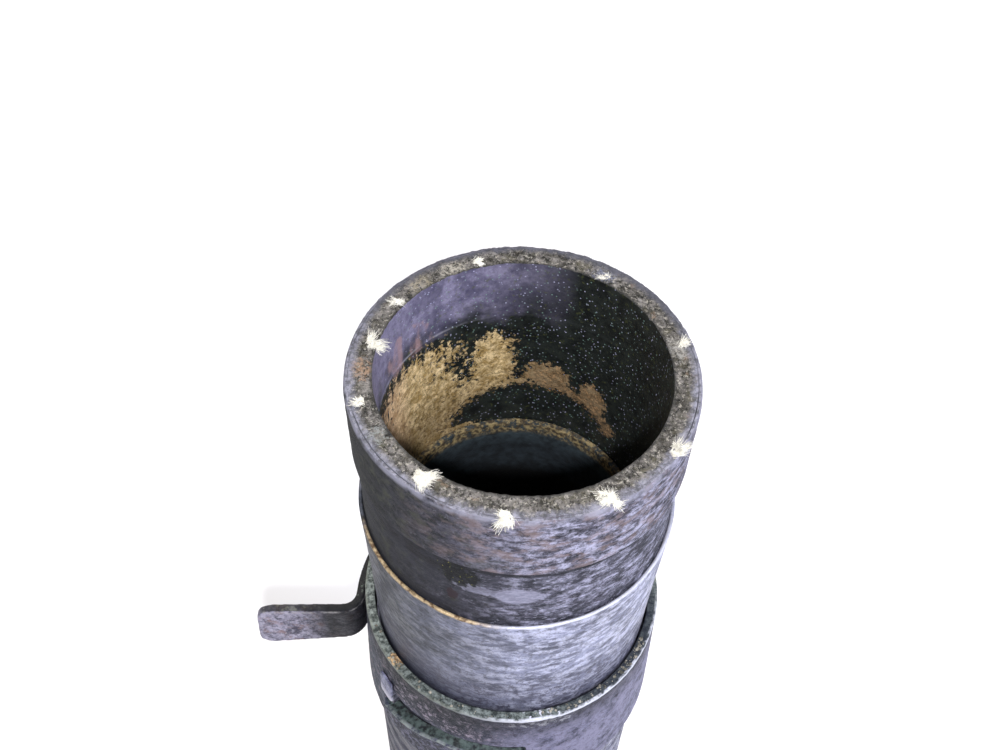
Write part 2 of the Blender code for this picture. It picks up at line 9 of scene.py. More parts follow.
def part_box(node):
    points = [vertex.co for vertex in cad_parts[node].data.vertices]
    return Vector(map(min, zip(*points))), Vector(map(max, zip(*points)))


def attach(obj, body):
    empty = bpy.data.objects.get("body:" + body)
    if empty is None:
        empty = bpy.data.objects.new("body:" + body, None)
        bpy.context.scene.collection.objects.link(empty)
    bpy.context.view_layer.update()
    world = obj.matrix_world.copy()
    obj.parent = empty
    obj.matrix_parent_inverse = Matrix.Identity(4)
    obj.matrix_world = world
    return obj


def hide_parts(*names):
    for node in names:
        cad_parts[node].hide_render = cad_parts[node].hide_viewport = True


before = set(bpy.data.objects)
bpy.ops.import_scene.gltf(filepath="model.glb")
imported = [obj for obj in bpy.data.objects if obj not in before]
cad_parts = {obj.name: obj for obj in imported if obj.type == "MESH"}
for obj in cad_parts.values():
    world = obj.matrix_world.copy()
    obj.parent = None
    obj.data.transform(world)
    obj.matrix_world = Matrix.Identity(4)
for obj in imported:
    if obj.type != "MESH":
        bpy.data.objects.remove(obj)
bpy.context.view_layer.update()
mm = 0.001  # sizes below are in mm, and every mesh is in metres
dice = random.Random(11)  # cord ends first, then crumbs
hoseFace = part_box("hose_tube")[1].z  # height of the cut end
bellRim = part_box("coupler_body")[1].z  # height of the bell's rim
print("frame loaded, cut end at %.1f mm" % (hoseFace / mm))


# small helpers for modelling

def dropSelection():
    if bpy.context.object and bpy.context.object.mode != "OBJECT":
        bpy.ops.object.mode_set(mode="OBJECT")
    bpy.ops.object.select_all(action="DESELECT")


def pickOnly(piece):
    dropSelection()
    piece.select_set(True)
    bpy.context.view_layer.objects.active = piece


def editPick(piece, rule):
    # go into edit mode with only the vertices picked that the rule says yes to
    pickOnly(piece)
    bpy.ops.object.mode_set(mode="EDIT")
    bpy.ops.mesh.select_mode(type="VERT")
    bpy.ops.mesh.select_all(action="DESELECT")
    shape = bmesh.from_edit_mesh(piece.data)
    for vert in shape.verts:
        vert.select = rule(vert.co)
    shape.select_flush(True)
    bmesh.update_edit_mesh(piece.data)


def finishShape(piece, angle=35):
    pickOnly(piece)
    bpy.ops.object.mode_set(mode="EDIT")
    bpy.ops.mesh.select_all(action="SELECT")
    bpy.ops.mesh.remove_doubles(threshold=0.004 * mm)
    bpy.ops.mesh.normals_make_consistent(inside=False)
    bpy.ops.object.mode_set(mode="OBJECT")
    bpy.ops.object.shade_smooth_by_angle(angle=radians(angle))


def turnedPiece(name, outline, corners):
    # a ring pulled along its outline of (radius, height) in mm, back to where it began
    dropSelection()
    radius, height = outline[0]
    bpy.ops.mesh.primitive_circle_add(vertices=corners, radius=radius * mm)
    piece = bpy.context.object
    piece.name = piece.data.name = name
    bpy.ops.object.mode_set(mode="EDIT")
    bpy.ops.mesh.select_all(action="SELECT")
    bpy.ops.transform.translate(value=(0, 0, height * mm))
    for nextRadius, nextHeight in [*outline[1:], outline[0]]:
        bpy.ops.mesh.extrude_region_move(
            TRANSFORM_OT_translate={"value": (0, 0, (nextHeight - height) * mm)})
        share = nextRadius / radius
        bpy.ops.transform.resize(value=(share, share, 1), center_override=(0, 0, 0))
        radius, height = nextRadius, nextHeight
    bpy.ops.object.mode_set(mode="OBJECT")
    finishShape(piece)
    return piece


def stepped(start, end, step):
    # points from start up to, not with, end, no further apart than step
    count = max(1, round(hypot(end[0] - start[0], end[1] - start[1]) / step))
    return [(start[0] + (end[0] - start[0]) * i / count, start[1] + (end[1] - start[1]) * i / count)
            for i in range(count)]


def roundedCorner(centre, radius, first, last, count=4):
    angles = [radians(first + (last - first) * i / count) for i in range(count + 1)]
    return [(centre[0] + radius * cos(a), centre[1] + radius * sin(a)) for a in angles]


def weightWhere(piece, rule):
    group = piece.vertex_groups.new(name="worked")
    for vert in piece.data.vertices:
        share = rule(vert.co)
        if share > 0:
            group.add([vert.index], min(share, 1), "REPLACE")


def roughen(piece, grain, depth, along="NORMAL"):
    # grain and depth in mm, only where the piece's own weights are
    pattern = bpy.data.textures.new(piece.name + "Grain", "CLOUDS")
    pattern.noise_scale = grain * mm
    pattern.noise_depth = 2
    pickOnly(piece)
    work = piece.modifiers.new("grain", "DISPLACE")
    work.texture = pattern
    work.texture_coords = "LOCAL"
    work.direction = along
    work.strength = depth * mm
    work.mid_level = 0.5
    if "worked" in piece.vertex_groups:
        work.vertex_group = "worked"
    bpy.ops.object.modifier_apply(modifier=work.name)


def reshape(piece, rule):
    for vert in piece.data.vertices:
        vert.co = rule(vert.co.copy())
    piece.data.update()


def smoothCopy(node, name, bevel=0.0, segments=2, angle=40):
    # the CAD solid's own shape, welded, with broken edges
    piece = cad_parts[node].copy()
    piece.data = piece.data.copy()
    piece.name = piece.data.name = name
    bpy.context.collection.objects.link(piece)
    for mark in list(piece.keys()):  # the node's own marks stay with the node
        del piece[mark]
    pickOnly(piece)
    bpy.ops.object.mode_set(mode="EDIT")
    bpy.ops.mesh.select_all(action="SELECT")
    bpy.ops.mesh.remove_doubles(threshold=0.01 * mm)
    bpy.ops.mesh.dissolve_limited(angle_limit=radians(0.5))
    bpy.ops.object.mode_set(mode="OBJECT")
    if bevel:
        edge = piece.modifiers.new("broken edges", "BEVEL")
        edge.width = bevel * mm
        edge.segments = segments
        edge.limit_method = "ANGLE"
        edge.angle_limit = radians(angle)
        bpy.ops.object.modifier_apply(modifier=edge.name)
    bpy.ops.object.shade_smooth_by_angle(angle=radians(35))
    return piece


# small helpers for materials

paint = {}  # the material in work, its node tree, and the surface's place in mm and degrees


def linear(code):
    parts = [int(code[i:i + 2], 16) / 255 for i in (1, 3, 5)]
    return [*(c / 12.92 if c <= 0.04045 else ((c + 0.055) / 1.055) ** 2.4 for c in parts), 1]


def addNode(kind, inputs=(), give=0, **settings):
    # inputs go in the sockets' order or by name, each a value, a hex colour or another node's output
    tree = paint["tree"]
    node = tree.nodes.new("ShaderNode" + kind)
    for setting, value in settings.items():
        setattr(node, setting, value)
    for socket, value in inputs.items() if isinstance(inputs, dict) else enumerate(inputs):
        if isinstance(value, bpy.types.NodeSocket):
            tree.links.new(value, node.inputs[socket])
        else:
            node.inputs[socket].default_value = linear(value) if isinstance(value, str) else value
    return node.outputs[give] if node.outputs else None


def startMaterial(name):
    made = bpy.data.materials.new(name)
    made.use_nodes = True
    made.node_tree.nodes.clear()
    paint.update(made=made, tree=made.node_tree)
    spot = addNode("Mapping", {"Vector": addNode("TexCoord", give="Object"), "Scale": (1 / mm, 1 / mm, 1 / mm)})
    x, y, height = addNode("SeparateXYZ", {"Vector": spot}).node.outputs
    turn = addNode("Math", (y, x), operation="ARCTAN2")
    turn = addNode("Math", (turn,), operation="DEGREES")
    turn = addNode("Math", (turn, 360, 0), operation="WRAP")
    flat = addNode("CombineXYZ", (x, y))
    radius = addNode("VectorMath", (flat,), "Value", operation="LENGTH")
    way = addNode("VectorMath", (flat,), operation="NORMALIZE")
    paint.update(spot=spot, turn=turn, radius=radius, height=height, way=way)


def finishMaterial(inputs, relief=None, depth=0):
    # relief is a pattern from 0 to 1, and depth says how many mm it stands up
    if relief:
        inputs["Normal"] = addNode("Bump", {"Height": relief, "Distance": depth * mm, "Strength": 1})
    surface = addNode("BsdfPrincipled", inputs)
    addNode("OutputMaterial", {"Surface": surface})
    return paint["made"]


def over(below, above, *shares):
    # one colour laid over another, as far as all of its shares let it
    share = shares[0]
    for other in shares[1:]:
        share = addNode("Math", (share, other), operation="MULTIPLY")
    return addNode("Mix", {0: share, 6: below, 7: above}, give=2, data_type="RGBA")


def speckle(size, low, high, detail=3, rough=0.55, shift=0, flat=1, wide=1):
    # soft-edged noise blobs of about that size in mm, 0 below low and 1 above high
    spot = addNode("Mapping", {"Vector": paint["spot"], "Scale": (wide, wide, flat),
                               "Location": (shift, 0, shift)})
    grain = addNode("TexNoise", {"Vector": spot, "Scale": 1 / size, "Detail": detail, "Roughness": rough})
    return addNode("MapRange", (grain, low, high), interpolation_type="SMOOTHSTEP")


def patchAt(turn, height, halfTurn, halfHeight, ragged=0.35, size=3):
    # an oval at an angle and height, 1 inside and 0 outside, with a ragged edge
    across = addNode("Math", (paint["turn"], turn), operation="SUBTRACT")
    across = addNode("Math", (across, halfTurn), operation="DIVIDE")
    up = addNode("Math", (paint["height"], height), operation="SUBTRACT")
    up = addNode("Math", (up, halfHeight), operation="DIVIDE")
    out = addNode("VectorMath", (addNode("CombineXYZ", (across, up)),), "Value", operation="LENGTH")
    rag = addNode("TexNoise", {"Vector": paint["spot"], "Scale": 1 / size, "Detail": 4, "Roughness": 0.65})
    out = addNode("Math", (rag, 2 * ragged, out), operation="MULTIPLY_ADD")
    return addNode("MapRange", (out, 1.08 + ragged, 0.92 + ragged))


def dabAt(turn, radius, height, size, ragged=1.0):
    # a ragged dab of that radius in mm round one point
    centre = (radius * cos(radians(turn)), radius * sin(radians(turn)), height)
    away = addNode("VectorMath", (paint["spot"], centre), "Value", operation="DISTANCE")
    away = addNode("Math", (away, size), operation="DIVIDE")
    rag = addNode("TexNoise", {"Vector": paint["spot"], "Scale": 3.2 / size, "Detail": 8, "Roughness": 0.75})
    away = addNode("Math", (rag, 4 * ragged, away), operation="MULTIPLY_ADD")
    return addNode("MapRange", (away, 1.0 + 2 * ragged, 0.7 + 2 * ragged))


def between(value, low, high, soft):
    # 1 where value lies from low to high, with soft shoulders
    rise = addNode("MapRange", (value, low - soft, low + soft))
    fall = addNode("MapRange", (value, high + soft, high - soft))
    return addNode("Math", (rise, fall), operation="MULTIPLY")


def facing(first, last, soft):
    # 1 on the side of the run that lies between two angles, with soft shoulders
    middle, half = radians((first + last) / 2), (last - first) / 2
    way = (cos(middle), sin(middle), 0)
    near = addNode("VectorMath", (paint["way"], way), "Value", operation="DOT_PRODUCT")
    return addNode("MapRange", (near, cos(radians(half + soft)), cos(radians(max(half - soft, 0)))))


# camera, floor and lights

# mm in front of the run and above the cut end, degrees down, aside and tilted, lens in mm
view = {"front": 240.27, "above": 284.6, "pitch": 50.158, "yaw": -1.883, "roll": 1.804, "lens": 39.6}


def placeCamera():
    pitch, yaw, roll = (radians(view[key]) for key in ("pitch", "yaw", "roll"))
    ahead = Vector((sin(yaw) * cos(pitch), cos(yaw) * cos(pitch), -sin(pitch)))
    side = Vector((cos(yaw), -sin(yaw), 0))
    up = side.cross(ahead)
    right, top = cos(roll) * side + sin(roll) * up, cos(roll) * up - sin(roll) * side
    dropSelection()
    bpy.ops.object.camera_add()
    camera = bpy.context.object
    camera.data.lens = view["lens"]
    camera.data.sensor_width = 36
    camera.data.clip_start = 0.01
    place = Vector((0, -view["front"] * mm, hoseFace + view["above"] * mm))
    camera.matrix_world = Matrix.Translation(place) @ Matrix((right, top, -ahead)).transposed().to_4x4()
    bpy.context.scene.camera = camera


light = {
    # place in mm from the middle of the cut end, lamp size in mm, watts, shade
    "lamps": {
        "keyLight": ((16, -306, 329), 26, 3.3, "#fbfaff"),  # small, for the sharp edge of shade in the bore
        "windowLight": ((3000, -700, 1500), 1500, 72, "#e6ebff"),
        "backLight": ((-900, 2400, 2200), 1800, 95, "#fff8f0"),
    },
    "sky": 0.38,
}


def placeLights():
    for name, (place, size, power, shade) in light["lamps"].items():
        away = Vector(place) * mm
        dropSelection()
        bpy.ops.object.light_add(type="AREA", location=away + Vector((0, 0, hoseFace)))
        lamp = bpy.context.object
        lamp.name = name
        lamp.data.shape = "DISK"
        lamp.data.size = size * mm
        lamp.data.energy = power
        lamp.data.color = linear(shade)[:3]
        lamp.rotation_euler = away.to_track_quat("Z", "Y").to_euler()
    sky = bpy.data.worlds.new("studioWhite")
    sky.use_nodes = True
    sky.node_tree.nodes["Background"].inputs[0].default_value = linear("#eef1fb")
    sky.node_tree.nodes["Background"].inputs[1].default_value = light["sky"]
    bpy.context.scene.world = sky


def makeFloor():
    # painted board, very slightly uneven in tone
    dropSelection()
    bpy.ops.mesh.primitive_plane_add(size=8)
    floor = bpy.context.object
    floor.name = "studioFloor"
    bpy.ops.object.mode_set(mode="EDIT")
    bpy.ops.mesh.subdivide(number_cuts=3)
    bpy.ops.object.mode_set(mode="OBJECT")
    startMaterial("paintedBoard")
    tone = speckle(300, 0.3, 0.7)
    shade = over("#fbfbfb", "#ffffff", tone)
    floor.data.materials.append(finishMaterial({"Base Color": shade, "Roughness": 0.9}))


bpy.context.scene.view_settings.view_transform = "Standard"
placeCamera()
placeLights()
makeFloor()
print("camera, lights and floor are in place")


# materials of the hose

def cutRubber():
    # nitrile rubber and tyre cord, sawn through: torn grain, chalky smears, a cleaner outer cover
    # grit and cord stubs of 0.3 mm are drawn 1 to 2 mm wide so that they show
    startMaterial("sawnCordRubber")
    base = speckle(3.0, 0.4, 0.6, detail=9, rough=0.8)
    shade = over("#35342f", "#a29d97", base)
    broad = speckle(7, 0.42, 0.58, detail=6, rough=0.7, shift=63)
    shade = over(shade, "#3b382f", 0.6, broad)
    olive = speckle(5, 0.5, 0.68, detail=6, rough=0.7, shift=88)
    shade = over(shade, "#66624b", 0.6, olive)
    fibre = speckle(1.5, 0.54, 0.62, detail=6, rough=0.75, shift=31)
    shade = over(shade, "#ccc6b8", 0.85, fibre)
    pits = speckle(1.5, 0.54, 0.62, detail=6, rough=0.75, shift=77)
    shade = over(shade, "#151615", 0.9, pits)
    tan = speckle(8, 0.6, 0.68, detail=6, rough=0.7, shift=12)
    shade = over(shade, "#a48a72", 0.5, tan)
    grit = speckle(1.6, 0.44, 0.56, detail=8, rough=0.8, shift=22)
    for turn, radius, size, dust in (
            (184, 54.5, 5, "#c19f80"), (121, 54, 5, "#d9d2c2"), (136, 55, 5, "#b3a993"),
            (14, 55.5, 6, "#bdbab2"), (60, 55, 5, "#8e93a8"), (214, 56, 4, "#aab0ac")):
        shade = over(shade, dust, 0.8, dabAt(turn, radius, 350, size), grit)
    wander = speckle(4, 0.2, 0.8, detail=5, rough=0.7, shift=55)
    edge = addNode("Math", (wander, 2.4, paint["radius"]), operation="MULTIPLY_ADD")
    outer = addNode("MapRange", (edge, 57.6, 60))
    cover = over("#6a6b72", "#b4b4c4", speckle(2.6, 0.38, 0.6, detail=8, rough=0.75, shift=5))
    far = facing(20, 160, 14)
    cover = over(cover, "#4e4f58", 0.8, far)
    shade = over(shade, cover, 0.9, outer)
    lip = addNode("MapRange", (paint["radius"], 52.4, 51.3))
    shade = over(shade, "#343433", 0.75, lip)
    relief = speckle(1.2, 0.2, 0.8, detail=8, rough=0.8, shift=3)
    return finishMaterial({"Base Color": shade, "Roughness": 0.85, "Specular IOR Level": 0.3}, relief, 1.0)


def coverRubber():
    # neoprene cover cured under cloth tape: matt charcoal, rubbed round the run, clay in its grain; a painted
    # highlight of pale streaks on its front right, painted shade on its left
    # the tape left a weave of 0.5 mm, drawn as grain of 1.5 mm and more so that it shows
    startMaterial("tapeCuredNeoprene")
    streak = speckle(6, 0.4, 0.6, flat=1.7, detail=10, rough=0.8)
    shade = over("#181921", "#565463", streak)
    # painted highlight: pale rubbed streaks only on the front right, the side facing the lamps
    lit = facing(266, 372, 16)
    rubbedAndSheen = speckle(6, 0.42, 0.62, flat=2, detail=9, rough=0.75, shift=9)
    shade = over(shade, "#c2c2dc", 0.9, lit, rubbedAndSheen)
    fine = speckle(1.5, 0.5, 0.6, detail=6, rough=0.75, shift=21)
    shade = over(shade, "#222328", 0.55, fine)
    chalk = speckle(1.7, 0.56, 0.64, flat=1.3, detail=6, rough=0.75, shift=57)
    shade = over(shade, "#92919e", 0.5, chalk)
    # painted shade: the left side, away from the lamps, is near black
    paintedShadeSide = facing(130, 240, 22)
    shade = over(shade, "#111614", 0.88, paintedShadeSide)
    wrapBand = addNode("MapRange", (paint["height"], 318, 318.4))
    below = addNode("Math", (1, wrapBand), operation="SUBTRACT")
    clay = speckle(9, 0.47, 0.62, flat=1.8, detail=7, rough=0.7, shift=44)
    claySide = facing(250, 350, 20)
    shade = over(shade, "#8f7d7c", 0.62, clay, wrapBand, claySide)
    green = speckle(8, 0.5, 0.66, detail=7, rough=0.7, shift=66)
    shade = over(shade, "#45473b", 0.6, green, addNode("Math", (1, lit), operation="SUBTRACT"))
    # painted highlight along the wrap's rounded top edge
    crown = addNode("MapRange", (paint["height"], 347.2, 349))
    shade = over(shade, "#9797a5", 0.75, crown, speckle(5, 0.3, 0.6, detail=6, shift=27))
    # painted shadow: a black line just under the step of the wrap, and under it a painted shadow band on the
    # front left
    paintedStepShadow = between(paint["height"], 313.6, 318.2, 0.5)
    shade = over(shade, "#141519", 0.9, paintedStepShadow)
    wander = speckle(12, 0.2, 0.8, flat=2, detail=4, shift=18)
    uneven = addNode("Math", (wander, 7, paint["height"]), operation="MULTIPLY_ADD")
    # painted shadow band under the wrap's step, with a wandering edge
    band = between(uneven, 310, 325, 1.4)
    side = facing(214, 262, 9)
    shade = over(shade, "#101117", 0.92, band, side, below)
    dark = speckle(8, 0.4, 0.6, flat=2, detail=6, rough=0.7, shift=38)
    shade = over(shade, "#2b2c36", 0.68, dark, below)
    # painted shadow in the gap just above the sleeve's lip
    low = between(uneven, 281, 289, 1.5)
    shade = over(shade, "#1f2027", 0.8, low, speckle(7, 0.35, 0.6, flat=2, shift=15))
    glint = speckle(2.6, 0.58, 0.66, flat=2.4, detail=5, rough=0.7, shift=72)
    shade = over(shade, "#b3b4c8", 0.7, glint, lit, below)
    # one long pale scuff with a torn tail, and the pitted place beside it
    scuff = patchAt(272.5, 300.6, 8, 4.8, ragged=0.12, size=4)
    tail = patchAt(260, 302, 9, 2.6, ragged=0.8, size=2.5)
    bare = addNode("Math", (scuff, addNode("Math", (tail, 0.6), operation="MULTIPLY")), operation="MAXIMUM")
    polish = over("#7b7b8e", "#a4a4ba", speckle(3, 0.35, 0.65, flat=3, detail=6, rough=0.7, shift=2))
    shade = over(shade, polish, 0.9, bare)
    pitted = patchAt(252.5, 309, 7, 8, ragged=0.9, size=3.5)
    moss = over("#0c0f12", "#8d8c3c", speckle(1.0, 0.64, 0.7, detail=4, shift=4))
    shade = over(shade, moss, 0.95, pitted, speckle(3, 0.38, 0.5, detail=5, shift=97))
    rust = patchAt(250, 294.5, 2, 3.4, ragged=0.9, size=2)
    shade = over(shade, "#2b1a20", 0.8, rust)
    relief = speckle(3, 0.2, 0.8, flat=1.4, detail=10, rough=0.8, shift=3)
    gloss = addNode("MapRange", (bare, 0, 1, 0.72, 0.55))
    return finishMaterial({"Base Color": shade, "Roughness": gloss, "Specular IOR Level": 0.22}, relief, 0.55)


def boreRubber():
    # smooth mandrel-moulded lining, polished by slurry, with clay dried on it in a splash, and painted light on
    # its upper left wall
    # sand grains of 0.2 mm are drawn up to 0.8 mm wide so that they show
    startMaterial("mandrelMouldedLining")
    base = speckle(6, 0.3, 0.7, detail=7, rough=0.7)
    dark = over("#0d1011", "#252a27", base)
    pale = over("#605c74", "#8d88a0", speckle(3, 0.32, 0.68, detail=9, rough=0.8, shift=6))
    indigo = speckle(14, 0.4, 0.6, detail=4, shift=75)
    pale = over(pale, "#27263c", 0.6, indigo, facing(78, 142, 16))
    # painted light: the upper left wall, facing the lamps, is the pale lit copy, the rest stays dark
    left = facing(90, 215, 22)
    wander = speckle(12, 0.2, 0.8, shift=40)
    high = addNode("Math", (wander, -14, paint["height"]), operation="MULTIPLY_ADD")
    high = addNode("MapRange", (high, 312, 325))
    shade = over(dark, pale, left, high)
    sand = addNode("TexVoronoi", {"Vector": paint["spot"], "Scale": 0.62}, give="Distance")
    sand = addNode("MapRange", (sand, 0.24, 0.12))
    sandPatches = speckle(5, 0.3, 0.6, detail=6, rough=0.75, shift=39)
    sandShade = over("#7c9a8e", "#b9b9d6", speckle(3, 0.45, 0.55, detail=2, shift=28))
    shade = over(shade, sandShade, 0.8, sand, sandPatches)
    moss = speckle(1.6, 0.58, 0.7, detail=4, shift=23)
    shade = over(shade, "#4a4f2c", 0.5, moss)
    ledge = between(paint["height"], 321.9, 322.6, 0.3)
    ledgeSide = facing(118, 168, 14)
    shade = over(shade, "#96949c", 0.6, ledge, ledgeSide, speckle(8, 0.35, 0.6, shift=90))
    clay = addNode("Attribute", give="Fac", attribute_name="clay")
    rag = addNode("TexNoise", {"Vector": paint["spot"], "Scale": 0.45, "Detail": 7, "Roughness": 0.72})
    drip = addNode("Mapping", {"Vector": paint["spot"], "Scale": (0.55, 0.55, 0.035)})
    drip = addNode("TexNoise", {"Vector": drip, "Scale": 1, "Detail": 3, "Roughness": 0.6})
    fringe = addNode("MapRange", (paint["height"], 298, 310))
    edge = addNode("Math", (rag, 2.1, clay), operation="MULTIPLY_ADD")
    drip = addNode("Math", (drip, fringe), operation="MULTIPLY")
    edge = addNode("Math", (drip, 0.8, edge), operation="MULTIPLY_ADD")
    mask = addNode("MapRange", (edge, 1.05, 1.14))
    ochre = over("#ad9058", "#fbe0ab", speckle(4, 0.4, 0.6, detail=9, rough=0.78, shift=19))
    flecks = speckle(1.6, 0.5, 0.6, detail=7, rough=0.8, shift=29)
    lowClay = addNode("MapRange", (paint["height"], 292, 272))
    ochre = over(ochre, "#473a22", flecks, addNode("MapRange", (lowClay, 0, 1, 0.55, 1.0)))
    ochre = over(ochre, "#6b563a", 0.55, lowClay)
    damp = speckle(7, 0.46, 0.6, detail=6, rough=0.7, shift=83)
    ochre = over(ochre, "#7c6636", 0.4, damp)
    ochre = over(ochre, "#c79a80", 0.45, facing(158, 190, 10))
    brown = facing(20, 92, 8)
    ochre = over(ochre, over("#4c3a2c", "#b08a62", flecks), brown, 0.75)
    mask = addNode("Math", (mask, addNode("MapRange", (paint["height"], 323, 320))), operation="MULTIPLY")
    shade = over(shade, ochre, mask)
    film = speckle(5, 0.42, 0.62, flat=0.4, detail=4, shift=61)
    filmPlace = patchAt(150, 328, 14, 9, ragged=0.7, size=5)
    shade = over(shade, "#a48684", 0.6, film, filmPlace)
    relief = speckle(1.5, 0.2, 0.8, detail=6, rough=0.7, shift=3)
    relief = addNode("Math", (relief, addNode("MapRange", (mask, 0, 1, 0.2, 1.0))), operation="MULTIPLY")
    gloss = addNode("MapRange", (mask, 0, 1, 0.5, 0.92))
    return finishMaterial({"Base Color": shade, "Roughness": gloss, "Specular IOR Level": 0.35}, relief, 0.5)


def polyesterYarn():
    # polyester tyre cord, combed open by the saw: cream, silky along each filament
    startMaterial("frayedPolyesterCord")
    shade = over("#cfcab8", "#f6f4e8", speckle(0.7, 0.3, 0.6, detail=3))
    dirt = speckle(2.5, 0.55, 0.7, detail=4, shift=13)
    shade = over(shade, "#8f8a70", 0.6, dirt)
    return finishMaterial({
        "Base Color": shade, "Roughness": 0.6, "Sheen Weight": 0.3, "Sheen Roughness": 0.5})


hoseShades = {"cut": cutRubber(), "cover": coverRubber(), "bore": boreRubber(), "yarn": polyesterYarn()}
print("hose materials made")


# the hose: four layers that meet in one torn cut face

# the upper ferrule comes first, because the cover is squeezed inside it
sleeve = {"corners": 448, "foot": 200.0, "top": 281.0, "lip": 61.1, "footRadius": 58.7, "wall": 1.3,
          "curve": 1.3, "dent": 0.3, "dentSize": 28, "lipRounding": 0.75, "rings": 56}


def sleeveRadius(height):
    share = (height - sleeve["foot"]) / (sleeve["top"] - sleeve["foot"])
    return sleeve["footRadius"] + (sleeve["lip"] - sleeve["footRadius"]) * max(share, 0) ** sleeve["curve"]


hoseCut = {
    "corners": 512,
    "layers": {  # inner and outer radius and foot of each layer, the node it stands for, its slot
        "hoseLiner": (51.1, 53.75, 200.1, "hose_tube", "hose_liner"),
        "hosePly": (53.75, 56.25, 200.1, "hose_ply", "hose_carcass"),
        "hoseCover": (56.25, 59.35, 200.1, "hose_cover", "hose_rubber"),
        "hoseWrap": (59.35, 61.0, 318.0, "hose_end_wrap", "hose_rubber"),
    },
    "ring": 0.55,  # spacing of the rings on the cut face
    "grain": 3.0, "tear": 1.3, "fineGrain": 1.1, "fineTear": 0.7,  # how the saw tore the cut face
    "cutDepth": 1.2, "cutEdge": 60.1,  # faces this near the top and the middle show the cut
    "ledge": 321.6, "ledgeStep": 0.25,  # the lining is thicker below the ledge
    "splashFoot": 240,  # the lining has close rings above this, for the splash
    "wrapRounding": 1.7, "wrapCorner": 1.2,
    "hollows": 0.25, "ripples": 0.16, "shrink": 0.2,  # how far the rubber is from round
    "claySpots": [  # angle, half width, height, half height of each part of the splash
        (150, 36, 280, 27), (128, 15, 258, 22), (104, 11, 292, 15), (95, 14, 279, 6), (112, 14, 279, 9),
        (79, 11, 288, 8), (71, 9, 281, 3.5), (56, 8, 282, 10), (48, 7, 272, 5), (150, 32, 254, 16)],
    "bareSpot": (84, 40, 262, 18), "bareFoot": 259,
    "clayDepth": 0.5, "noClay": -3,
}


def oval(spot, turn, height):
    return 1 - hypot((turn - spot[0]) / spot[1], (height - spot[2]) / spot[3])


def clayCover(co):
    turn, height = degrees(atan2(co.y, co.x)), co.z / mm
    if turn < -90:
        turn += 360
    cover = max(oval(spot, turn, height) for spot in hoseCut["claySpots"])
    if height > hoseCut["bareFoot"]:
        cover = min(cover, -1.6 * oval(hoseCut["bareSpot"], turn, height))
    return cover


def layerOutline(name, inner, outer, foot, top):
    cutFace = stepped((inner, top), (outer, top), hoseCut["ring"])
    if name == "hoseLiner":
        ledge, middle, inside = hoseCut["ledge"], hoseCut["splashFoot"], inner - hoseCut["ledgeStep"]
        wall = stepped((inside, foot + 1), (inside, middle), 12)
        wall += stepped((inside, middle), (inside, ledge), 1)
        wall += [(inside, ledge), (inside - 0.08, ledge + 0.6), (inside + 0.15, ledge + 1.2)]
        wall += stepped((inner, ledge + 1.8), (inner, top), 1.2)
        return [(inner, foot), *wall, *cutFace, (outer, top), (outer, foot)]
    if name == "hosePly":
        return [(inner, foot), *cutFace, (outer, top), (outer, foot)]
    if name == "hoseCover":
        skirt = [(sleeveRadius(h) - sleeve["wall"] - 0.15, h) for h in (280, 265, 250, 235, 220, foot)]
        wall = stepped((outer, 319), (outer, 280), 1.3)
        return [(inner, foot), *cutFace, (outer, top), (outer, 321), *wall, *skirt]
    # the wrap's top edge is rounded over, a little taller than wide
    turnIn, corner = hoseCut["wrapRounding"], hoseCut["wrapCorner"]
    crown = [(inner, top), *roundedCorner((outer - corner, top - turnIn), corner, 90, 0, 6)]
    crown = [(r, h + (turnIn - corner) * (h - top + turnIn) / corner if top - turnIn < h < top else h)
             for r, h in crown]
    side = stepped((outer, top - turnIn - 1), (outer, foot + 0.6), 1.3)
    return [(inner, foot), *crown, *side, (outer, foot + 0.6), (outer - 0.25, foot + 0.15), (outer - 0.6, foot)]


def handled(co, edge):
    # the wall is never quite round: long soft hollows and a few ripples round the run
    out = hypot(co.x, co.y)
    if out < (edge - 0.5) * mm or co.z < sleeve["top"] * mm:
        return co
    soft = noise.noise(co * 35) * hoseCut["hollows"]
    soft += noise.noise(Vector((co.x * 120, co.y * 120, co.z * 420))) * hoseCut["ripples"]
    return co + Vector((co.x, co.y, 0)) * ((soft - hoseCut["shrink"]) * mm / out)


def layClay(piece, inner):
    # the splash is a raised skin, and the attribute says how deep inside it a point lies
    clay = piece.data.attributes.new("clay", "FLOAT", "POINT")
    for vert in piece.data.vertices:
        wall = hypot(vert.co.x, vert.co.y) < (inner + 0.3) * mm and vert.co.z < hoseFace - 1 * mm
        cover = clayCover(vert.co) if wall else hoseCut["noClay"]
        clay.data[vert.index].value = cover
        if cover > -0.1:
            depth = min(1, (cover + 0.1) * 5) * (0.35 + 0.65 * noise.fractal(vert.co * 700, 1, 2, 3))
            inwards = -Vector((vert.co.x, vert.co.y, 0)).normalized()
            vert.co += inwards * depth * hoseCut["clayDepth"] * mm


